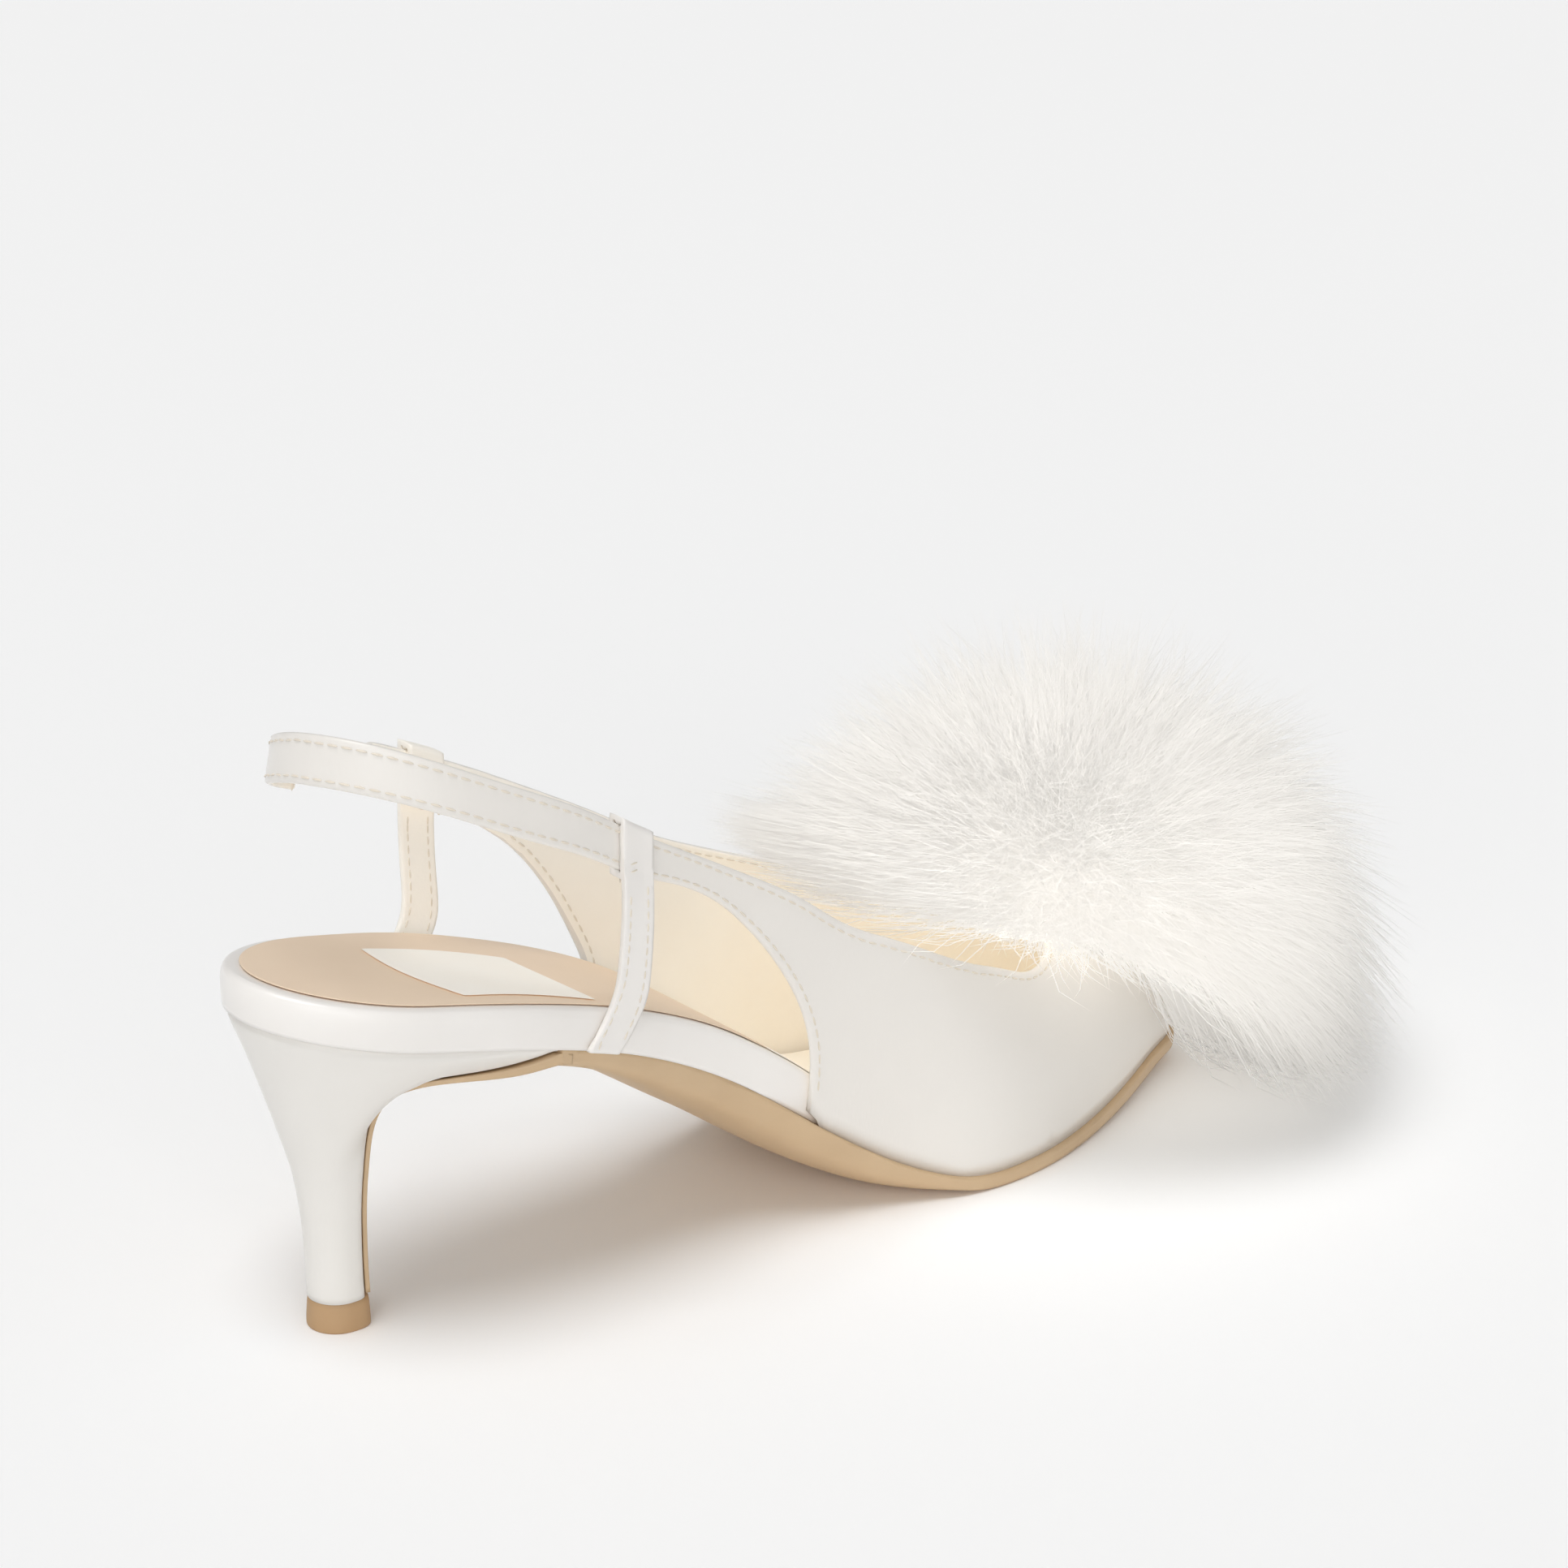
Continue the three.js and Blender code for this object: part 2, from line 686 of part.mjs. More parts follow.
// Rings of points closed at both ends by a fan
function ringBody(rings) {
  const count = rings[0].length;
  const points = rings.flat();
  const index = [];
  for (let i = 0; i + 1 < rings.length; i += 1) {
    for (let j = 0; j < count; j += 1) {
      const a = i * count + j;
      const b = i * count + ((j + 1) % count);
      index.push(a, b, a + count, b, b + count, a + count);
    }
  }
  [rings[0], rings.at(-1)].forEach((ring, end) => {
    const middle = ring.reduce((sum, p) => sum.add(p), new THREE.Vector3()).divideScalar(count);
    points.push(middle);
    const start = end === 0 ? 0 : (rings.length - 1) * count;
    for (let j = 0; j < count; j += 1) {
      const [a, b] = [start + j, start + ((j + 1) % count)];
      if (end === 0) index.push(b, a, points.length - 1);
      else index.push(a, b, points.length - 1);
    }
  });
  return bodyFrom(points, index);
}

const ringAngles = Array.from({ length: heelAngles }, (_, j) => (2 * Math.PI * j) / heelAngles - Math.PI);

function heelBody() {
  const foot = (topPieceHeight + clearance) / shaftTop;
  const rings = [foot, 0.35, 0.6, 0.82, 1].map((rise) => ringAngles.map((a) => shaftPoint(rise, a)));
  flareShares.forEach((share) => rings.push(ringAngles.map((a) => flarePoint(share, a))));
  rings.push(ringAngles.map((a) => seatPoint(a, 0)));
  return ringBody(rings);
}

function topPieceBody() {
  const rings = [0, 0.12, 1].map((level) => ringAngles.map((angle) => {
    const foot = shaftPoint(topPieceHeight / shaftTop, angle);
    const grow = mix(1.07, 1.0, level) - (level === 0 ? 0.03 : 0);
    const front = 0.5 + 0.5 * Math.cos(angle);
    const cover = (breastLeather + clearance) * front ** 2;
    return new THREE.Vector3((foot.x + cover) * grow, foot.y * grow, level * topPieceHeight);
  }));
  return ringBody(rings);
}

// The breast of the heel as a sheet of lines across it, from the top piece up to the wing,
// lifted off it and thicker towards the front
function breastSheet(lift, swell) {
  const angles = ringAngles.filter((angle) => Math.abs(angle) < cornerTurn * Math.PI + 0.01);
  const foot = (topPieceHeight + 2 * clearance) / shaftTop;
  const rows = [foot, 0.35, 0.6, 0.82, 1].map((rise) => angles.map((a) => shaftPoint(rise, a)));
  flareShares.forEach((share) => rows.push(angles.map((a) => flarePoint(share, a))));
  const root = 3;
  const fall = seam(heelFront - seatSetback + root) - seam(heelFront - seatSetback);
  rows.push(rows.at(-1).map((p) => new THREE.Vector3(p.x + root, p.y, p.z + fall)));
  const sheet = offsetSheet(gridSheet(rows), lift);
  const reach = heelFront - seatSetback;
  sheet.points.forEach((p) => {
    p.z -= swell * smoothStep((p.x / reach - 0.4) / 0.6);
  });
  return sheet;
}

function outsoleBody() {
  const inner = breastSheet(clearance, 0);
  const outer = breastSheet(clearance + breastLeather, soleEdge - wingTip - clearance - breastLeather);
  const strip = closedBody(outer, inner);
  return fromManifold(toManifold(outsoleForm()).add(toManifold(strip)));
}

const crownOf = curve(sections, 'along', 'crown');
const fullnessOf = curve(sections, 'along', 'fullness');
const wideOf = {
  '-1': curve(sections, 'along', 'medial'),
  1: curve(sections, 'along', 'lateral'),
};

// Height of the closed section's crown above the seam, rounded down at the toe's front
function crownHeight(x) {
  const s = x + seatSetback;
  const beyond = s - (shoeLength - toeFrontRadius);
  const round = beyond > 0 ? Math.sqrt(Math.max(0, 1 - (beyond / toeFrontRadius) ** 2)) : 1;
  return instepHeight * crownOf(alongOf(x)) * round;
}

// A point of the upper's outer face: turn is 0 at the seam and 1 at the crown of a side
function upperPoint(x, side, turn) {
  const angle = (clamp(turn, 0, 1) * Math.PI) / 2;
  const power = 2 / fullnessOf(alongOf(x));
  const middle = (footprint(x, -1) + footprint(x, 1)) / 2;
  const edge = footprint(x, side) + side * standOff(x, side) * endCap(x + seatSetback);
  const base = Math.abs(edge - middle);
  const shoulder = ((wideOf[side](alongOf(x)) * ballWidth) / 2) * endCap(x + seatSetback);
  const half = mix(base, Math.max(shoulder, base * 0.98), smoothStep(angle / 0.55));
  const y = middle + side * half * Math.cos(angle) ** power;
  const z = seam(x) + upperLift + crownHeight(x) * Math.sin(angle) ** power;
  return new THREE.Vector3(x, y, z);
}

// The turn at which the outer face reaches a height
function turnAt(x, height) {
  const share = clamp((height - seam(x) - upperLift) / crownHeight(x), 0, 1);
  return (Math.asin(share ** (fullnessOf(alongOf(x)) / 2)) * 2) / Math.PI;
}

// An edge of the pattern as points of x and turn, evenly spaced along its side view
function patternEdge(table) {
  const spline = new THREE.CatmullRomCurve3(table.map((row) => new THREE.Vector3(
    row.along * shoeLength - seatSetback,
    row.height * strapRise,
    0,
  )), false, 'centripetal');
  return (t) => {
    const p = spline.getPointAt(clamp(t, 0, 1));
    return { x: p.x, turn: turnAt(p.x, p.y) };
  };
}

// The top edge of a side: along its pattern line, then round the throat to the crown
function topEdge(table) {
  const line = patternEdge(table);
  const end = line(1);
  const throatX = throatFront - seatSetback;
  const lineShare = 0.62;
  return (t) => {
    if (t <= lineShare) return line(t / lineShare);
    const v = ((t - lineShare) / (1 - lineShare)) * (Math.PI / 2);
    return {
      x: mix(end.x, throatX, Math.sin(v) ** 0.92),
      turn: mix(end.turn, 1, 1 - Math.cos(v) ** 1.05),
    };
  };
}

// The lower edge of a side: along the opening to its corner, then along the seam
function lowEdge(table, cornerShare, endX) {
  const line = patternEdge(table);
  const corner = line(1);
  return (t) => {
    if (t <= cornerShare) {
      const p = line(t / cornerShare);
      return { x: p.x, turn: p.turn * smoothStep((cornerShare - t) / cornerShare * 12) };
    }
    return { x: mix(corner.x, endX, (t - cornerShare) / (1 - cornerShare)), turn: 0 };
  };
}

const bandColumns = 6;
const wingRows = 27;
const frontRows = 12;
const slingRows = 16;
const rowEndX = throatFront - seatSetback + 4;

// One side of the upper from its rear end to the throat, rows from the lower edge up
function wingRowsOf(side) {
  const medial = side < 0;
  const top = topEdge(medial ? medialTop : lateralTop);
  const cornerShare = medial ? 0.46 : 0.5;
  const low = lowEdge(medial ? medialOpening : lateralOpening, cornerShare, rowEndX);
  const rows = [];
  for (let i = 0; i <= wingRows; i += 1) {
    const a = low(i / wingRows);
    const b = top(i / wingRows);
    const row = [];
    for (let j = 0; j <= bandColumns; j += 1) {
      const w = j / bandColumns;
      row.push(upperPoint(mix(a.x, b.x, w), side, mix(a.turn, b.turn, w)));
    }
    rows.push(row);
  }
  return rows;
}

// The sling's rows, lower edge first, from its lateral end to the medial wing
function slingRowsOf() {
  const wingEnd = wingRowsOf(-1)[0];
  const tops = sling.map((row) => new THREE.Vector3(
    row.along * seatSetback,
    (row.across * ankleWidth) / 2,
    row.height * strapRise,
  ));
  const top = pathCurve([wingEnd.at(-1).clone(), ...tops]);
  const lean = 1.6;
  const rows = [];
  for (let i = 1; i <= slingRows; i += 1) {
    const t = i / slingRows;
    const p = top(t);
    const q = top(t + 0.01);
    const r = top(t - 0.01);
    const out = new THREE.Vector3(-(q.y - r.y), q.x - r.x, 0).normalize();
    if (out.dot(new THREE.Vector3(p.x - 12, p.y, 0)) < 0) out.negate();
    const blend = smoothStep(t * 4);
    const lower = p.clone().addScaledVector(out, lean * blend);
    lower.z -= strapWidth;
    const first = wingEnd[0].clone().sub(wingEnd.at(-1));
    const row = [];
    for (let j = 0; j <= bandColumns; j += 1) {
      const w = 1 - j / bandColumns;
      const straight = p.clone().lerp(lower, w);
      const drop = first.clone().multiplyScalar(w).add(p);
      row.push(drop.lerp(straight, smoothStep(t * 5)));
    }
    rows.push(row);
  }
  return rows.reverse();
}

// The whole upper as one sheet: sling and medial wing, vamp front, lateral wing
function upperSheet() {
  const medial = [...slingRowsOf(), ...wingRowsOf(-1)];
  const lateral = wingRowsOf(1);
  const points = [];
  const triangles = [];
  const width = bandColumns + 1;
  const strip = (rows, flip) => {
    const start = points.length;
    rows.forEach((row) => points.push(...row));
    for (let i = 0; i + 1 < rows.length; i += 1) {
      for (let j = 0; j < bandColumns; j += 1) {
        const a = start + i * width + j;
        const b = a + width;
        if (flip) triangles.push([a, a + 1, b], [a + 1, b + 1, b]);
        else triangles.push([a, b, a + 1], [b, b + 1, a + 1]);
      }
    }
  };
  strip(medial, false);
  strip(lateral, true);
  const ends = [medial.at(-1), lateral.at(-1)];
  const front = [];
  for (let i = 0; i < frontRows; i += 1) {
    const v = Math.sin(((i / frontRows) * Math.PI) / 2);
    const row = [];
    for (let j = 0; j <= 2 * bandColumns; j += 1) {
      const side = j <= bandColumns ? -1 : 1;
      const turn = j <= bandColumns ? j / bandColumns : 2 - j / bandColumns;
      const x = mix(mix(rowEndX, throatFront - seatSetback, turn), toeX, v);
      if (i === 0) row.push((side < 0 ? ends[0][j] : ends[1][2 * bandColumns - j]).clone());
      else row.push(upperPoint(x, side, turn));
    }
    front.push(row);
  }
  const tip = new THREE.Vector3(toeX, footprint(toeX, 1), seam(toeX) + upperLift);
  front.push(front[0].map(() => tip.clone()));
  const start = points.length;
  front.forEach((row) => points.push(...row));
  const span = 2 * bandColumns + 1;
  for (let i = 0; i + 1 < front.length; i += 1) {
    for (let j = 0; j + 1 < span; j += 1) {
      const a = start + i * span + j;
      const b = a + span;
      triangles.push([a, b, a + 1], [b, b + 1, a + 1]);
    }
  }
  return weldSheet({ points, triangles });
}

// Joins a sheet's equal points, so that its patches become one sheet
function weldSheet(sheet) {
  const keys = new Map();
  const points = [];
  const place = sheet.points.map((p) => {
    const key = [p.x, p.y, p.z].map((v) => Math.round(v * 500)).join();
    if (!keys.has(key)) {
      keys.set(key, points.length);
      points.push(p);
    }
    return keys.get(key);
  });
  const triangles = sheet.triangles
    .map((t) => t.map((i) => place[i]))
    .filter(([a, b, c]) => a !== b && b !== c && a !== c);
  return { points, triangles };
}

function upperBody() {
  const outer = upperSheet();
  return closedBody(outer, offsetSheet(outer, upperWall));
}

// The outer face of one side's band at x, from its lower edge to its top edge
function bandAt(x, side) {
  const rows = side < 0 ? [...slingRowsOf(), ...wingRowsOf(-1)] : wingRowsOf(1);
  return rows[0].map((first, column) => {
    let found = first;
    for (let i = 0; i + 1 < rows.length; i += 1) {
      const [p, q] = [rows[i][column], rows[i + 1][column]];
      const t = (x - p.x) / (q.x - p.x || 1e-9);
      if (t >= 0 && t <= 1 && Math.sign(p.y + q.y) === side) found = p.clone().lerp(q, t);
    }
    return found;
  });
}

// The ring of a loop round the band at x, with room of grow on all sides
function loopRing(x, side, grow) {
  const band = bandAt(x, side).filter((p, column) => column % 2 === 0);
  const last = band.length - 1;
  const rise = band.map((p, i) => (i === 0 ? -grow : (i === last ? grow : 0)));
  const outer = band.map((p, i) => new THREE.Vector3(x, p.y + side * grow, p.z + rise[i]));
  const inner = band.map((p, i) => new THREE.Vector3(x, p.y - side * (upperWall + grow), p.z + rise[i]));
  return [...outer, ...inner.reverse()];
}

// A stay: a band from the seam up the footbed's side to a loop round the upper's band
function stayBody(side, place) {
  const middle = place - seatSetback;
  const [xa, xb] = [middle - stayWidth / 2, middle + stayWidth / 2];
  const outside = loopRoom + stayThickness;
  const tube = (grow, extra) => ringBody([0, 0.34, 0.67, 1].map((t) => {
    const x = mix(xa - extra, xb + extra, t);
    return loopRing(x, side, grow);
  }));
  const loop = toManifold(tube(outside, 0)).subtract(toManifold(tube(loopRoom, 1)));
  const rows = [];
  const steps = 12;
  for (let i = 0; i <= steps; i += 1) {
    const t = i / steps;
    const row = [];
    for (let j = 0; j <= 3; j += 1) {
      const lean = stayLean * Math.max(0, 1 - 2.6 * t) ** 1.6;
      const x = mix(xa, xb, j / 3) - lean;
      const foot = footprint(x, side) + side * (clearance * 2.2 + stayThickness);
      const rim = boardTop(x) - 1;
      const band = bandAt(mix(xa, xb, j / 3), side)[0];
      const head = band.y + side * outside;
      const low = seam(x) + clearance;
      const high = band.z + 2;
      const z = mix(low, high, t);
      const up = clamp((z - rim) / (high - rim), 0, 1);
      const y = mix(foot, head, smoothStep(up * 1.05)) + side * 0.8 * Math.sin(Math.PI * up);
      row.push(new THREE.Vector3(x, y, z));
    }
    rows.push(row);
  }
  const outer = gridSheet(rows);
  const inner = {
    points: outer.points.map((p) => new THREE.Vector3(p.x, p.y - side * stayThickness, p.z)),
    triangles: outer.triangles,
  };
  return fromManifold(loop.add(toManifold(closedBody(outer, inner))));
}

// The short elastic inside the lateral wing's end and the sling's end
function elasticBody() {
  const slingLine = slingRowsOf();
  const wing = wingRowsOf(1);
  const inward = upperWall + clearance * 3.2;
  const rows = [];
  const middle = (row) => row[0].clone().lerp(row.at(-1), 0.5);
  const line = pathCurve([slingLine[1], slingLine[0], wing[0], wing[1]].map(middle));
  const steps = 10;
  for (let i = 0; i <= steps; i += 1) {
    const t = i / steps;
    const p = line(t);
    const dir = line(t + 0.03).sub(line(t - 0.03)).normalize();
    const out = new THREE.Vector3(-dir.y, dir.x, 0).normalize();
    if (out.y < 0) out.negate();
    p.addScaledVector(out, -inward);
    const up = new THREE.Vector3(0, 0, elasticWidth / 2);
    rows.push([p.clone().sub(up), p.clone(), p.clone().add(up)]);
  }
  const outer = gridSheet(rows);
  return closedBody(outer, offsetSheet(outer, -elasticThickness));
}

// A tapered, slightly curved lock of fur from the pompom's core outwards
function lockBody(direction, centre, length, droop) {
  const sides = 5;
  const side = new THREE.Vector3(-direction.y, direction.x, 0.001).normalize();
  const upward = side.clone().cross(direction).normalize();
  const reach = (d) => 1 / Math.hypot(d.x / pompomRadius, d.y / pompomRadius, d.z / pompomHeight);
  const from = reach(direction) * 0.72;
  const rings = [0, 0.55, 1].map((t) => {
    const along = mix(from, reach(direction) + length, t);
    const middle = direction.clone().multiplyScalar(along).add(centre);
    middle.z -= droop * t * t;
    const radius = lockRadius * (1 - 0.9 * t ** 1.3);
    return Array.from({ length: sides }, (_, k) => {
      const a = (2 * Math.PI * k) / sides;
      return middle.clone()
        .addScaledVector(side, Math.cos(a) * radius)
        .addScaledVector(upward, Math.sin(a) * radius);
    });
  });
  return ringBody(rings);
}

// The vamp holds the locks up on the inner rear side, and they hang on the side opposite,
// at this turn from the toe's direction
const freeSide = 0.9;

function pompomBody() {
  const x = pompomPlace - seatSetback;
  const middle = (footprint(x, -1) + footprint(x, 1)) / 2;
  const centre = new THREE.Vector3(x, middle + pompomSide, pompomLift);
  const ball = new THREE.SphereGeometry(1, 18, 10);
  ball.scale(pompomRadius, pompomHeight, pompomRadius);
  ball.rotateX(Math.PI / 2);
  ball.translate(centre.x, centre.y, centre.z);
  let solid = toManifold(ball);
  const tiers = [
    { lift: -0.3, locks: 12, reach: 0.95, droop: 16 },
    { lift: -0.02, locks: 13, reach: 1.0, droop: 7 },
    { lift: 0.32, locks: 10, reach: 0.9, droop: 3 },
    { lift: 0.66, locks: 8, reach: 0.75, droop: 1 },
    { lift: 0.93, locks: 3, reach: 0.62, droop: 0 },
  ];
  tiers.forEach(({ lift, locks, reach, droop }, tier) => {
    for (let k = 0; k < locks; k += 1) {
      const a = (2 * Math.PI * (k + 0.37 * tier)) / locks;
      const held = Math.max(0, -Math.cos(a - freeSide));
      const up = Math.min(lift + 0.5 * held, 0.95);
      const flat = Math.sqrt(1 - up * up);
      const direction = new THREE.Vector3(Math.cos(a) * flat, Math.sin(a) * flat, up);
      const length = lockLength * reach * (0.88 + 0.12 * Math.sin(3.7 * k + tier)) * (1 - 0.2 * held);
      solid = solid.add(toManifold(lockBody(direction, centre, length, droop * (1 - held))));
    }
  });
  const pieces = solid.subtract(vampGrown()).decompose();
  return fromManifold(pieces.reduce((a, b) => (a.volume() > b.volume() ? a : b)));
}

// The vamp's outside made larger by the clearance and closed, to cut what lies on it
function vampGrown() {
  const rings = [];
  const rows = 16;
  const start = pompomPlace - seatSetback - pompomRadius - lockLength - 4;
  for (let i = 0; i <= rows; i += 1) {
    const x = mix(start, toeX - 0.4, Math.sin(((i / rows) * Math.PI) / 2));
    const ring = [];
    for (let j = 0; j <= 20; j += 1) {
      const side = j <= 10 ? -1 : 1;
      const turn = j <= 10 ? j / 10 : 2 - j / 10;
      const p = upperPoint(x, side, turn);
      const middle = new THREE.Vector3(x, (footprint(x, -1) + footprint(x, 1)) / 2, seam(x));
      const away = p.clone().sub(middle);
      p.addScaledVector(away.normalize(), clearance * 2.5);
      ring.push(p);
    }
    ring.push(new THREE.Vector3(x, ring.at(-1).y, -5), new THREE.Vector3(x, ring[0].y, -5));
    rings.push(ring);
  }
  const last = rings.at(-1).map((p) => p.clone().setX(toeX + 1.2));
  rings.push(last);
  return toManifold(ringBody(rings));
}

function mesh(name, geometry, color, roughness) {
  const shaded = geometry.index ? geometry.toNonIndexed() : geometry;
  shaded.computeVertexNormals();
  const piece = new THREE.Mesh(
    shaded,
    new THREE.MeshStandardMaterial({ color, roughness, metalness: 0 }),
  );
  piece.name = name;
  return piece;
}

const shoe = new THREE.Group();
shoe.name = 'slingback_pump';
shoe.add(mesh('outsole', outsoleBody(), colours.leather, 0.45));
shoe.add(mesh('footbed', footbedBody(), colours.boardSatin, 0.35));
shoe.add(mesh('sock_lining', sockBody(-seatSetback, sockJoin), colours.beige, 0.55));
shoe.add(mesh('forepart_sock', sockBody(sockJoin + clearance, toeX), colours.cream, 0.6));
shoe.add(mesh('sock_pad', sockPadBody(), colours.cream, 0.6));
shoe.add(mesh('heel', heelBody(), colours.satin, 0.35));
shoe.add(mesh('top_piece', topPieceBody(), colours.topPiece, 0.5));
shoe.add(mesh('upper', upperBody(), colours.satin, 0.35));
shoe.add(mesh('side_stay_medial', stayBody(-1, medialStayPlace), colours.satin, 0.35));
shoe.add(mesh('side_stay_lateral', stayBody(1, lateralStayPlace), colours.satin, 0.35));
shoe.add(mesh('elastic_gore', elasticBody(), colours.lining, 0.7));
shoe.add(mesh('pompom', pompomBody(), colours.fur, 0.95));

export default shoe;
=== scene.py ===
"""A left slingback pump in ivory satin with a fur pompom on its vamp.

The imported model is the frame: +X to the toe, +Y to the outer side, +Z up, in metres.
The smooth pieces start from merged copies of its solids, so they keep the shoe's form.
"""

import logging
import math
from dataclasses import dataclass
from enum import Enum

import bmesh
import bpy
import numpy as np
from mathutils import Matrix, Vector
from mathutils.bvhtree import BVHTree


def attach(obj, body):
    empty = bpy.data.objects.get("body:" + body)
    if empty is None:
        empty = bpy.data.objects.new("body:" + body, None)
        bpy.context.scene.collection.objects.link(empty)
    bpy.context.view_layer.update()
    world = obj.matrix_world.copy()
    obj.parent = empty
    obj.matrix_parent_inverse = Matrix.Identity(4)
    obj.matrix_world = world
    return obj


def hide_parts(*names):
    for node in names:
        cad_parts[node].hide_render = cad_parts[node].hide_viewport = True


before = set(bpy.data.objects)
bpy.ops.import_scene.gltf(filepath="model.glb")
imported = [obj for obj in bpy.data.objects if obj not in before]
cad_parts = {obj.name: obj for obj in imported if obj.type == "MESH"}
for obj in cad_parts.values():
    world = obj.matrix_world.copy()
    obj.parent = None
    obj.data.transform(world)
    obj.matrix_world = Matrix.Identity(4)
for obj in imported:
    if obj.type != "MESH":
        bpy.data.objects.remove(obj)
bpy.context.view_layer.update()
MM = 0.001
LOG = logging.getLogger("slingback_pump")


class Face(Enum):
    """Which side of the upper's wall a face belongs to; the value is its material slot."""

    OUTER = 0
    LINING = 1
    EDGE = 2


class Pattern(Enum):
    """The pattern that a finish draws on its surface."""

    WEAVE = "weave"
    GRAIN = "grain"
    RIB = "rib"
    CUT = "cut"
    HAIR = "hair"


def linear(colour: str) -> tuple[float, float, float, float]:
    """Turns an sRGB hex colour into linear light.

    Args:
        colour: Six hex digits.

    Returns:
        Red, green, blue and an alpha of one.
    """
    values = [int(colour[i:i + 2], 16) / 255 for i in (0, 2, 4)]
    light = [v / 12.92 if v <= 0.04045 else ((v + 0.055) / 1.055) ** 2.4 for v in values]
    return (light[0], light[1], light[2], 1.0)


def add_node(
    tree: bpy.types.NodeTree,
    kind: str,
    settings: dict | None = None,
    values: dict | None = None,
    links: dict | None = None,
) -> bpy.types.Node:
    """Adds a shader node with its settings, its constant values and its links.

    Args:
        tree: The material's node tree.
        kind: The node's Blender type.
        settings: Properties of the node itself.
        values: Constants for its sockets, by name or place.
        links: Output sockets of other nodes for its sockets, by name or place.

    Returns:
        The new node.
    """
    node = tree.nodes.new(kind)
    for name, value in (settings or {}).items():
        setattr(node, name, value)
    for name, value in (values or {}).items():
        node.inputs[name].default_value = value
    for name, source in (links or {}).items():
        tree.links.new(source, node.inputs[name])
    return node


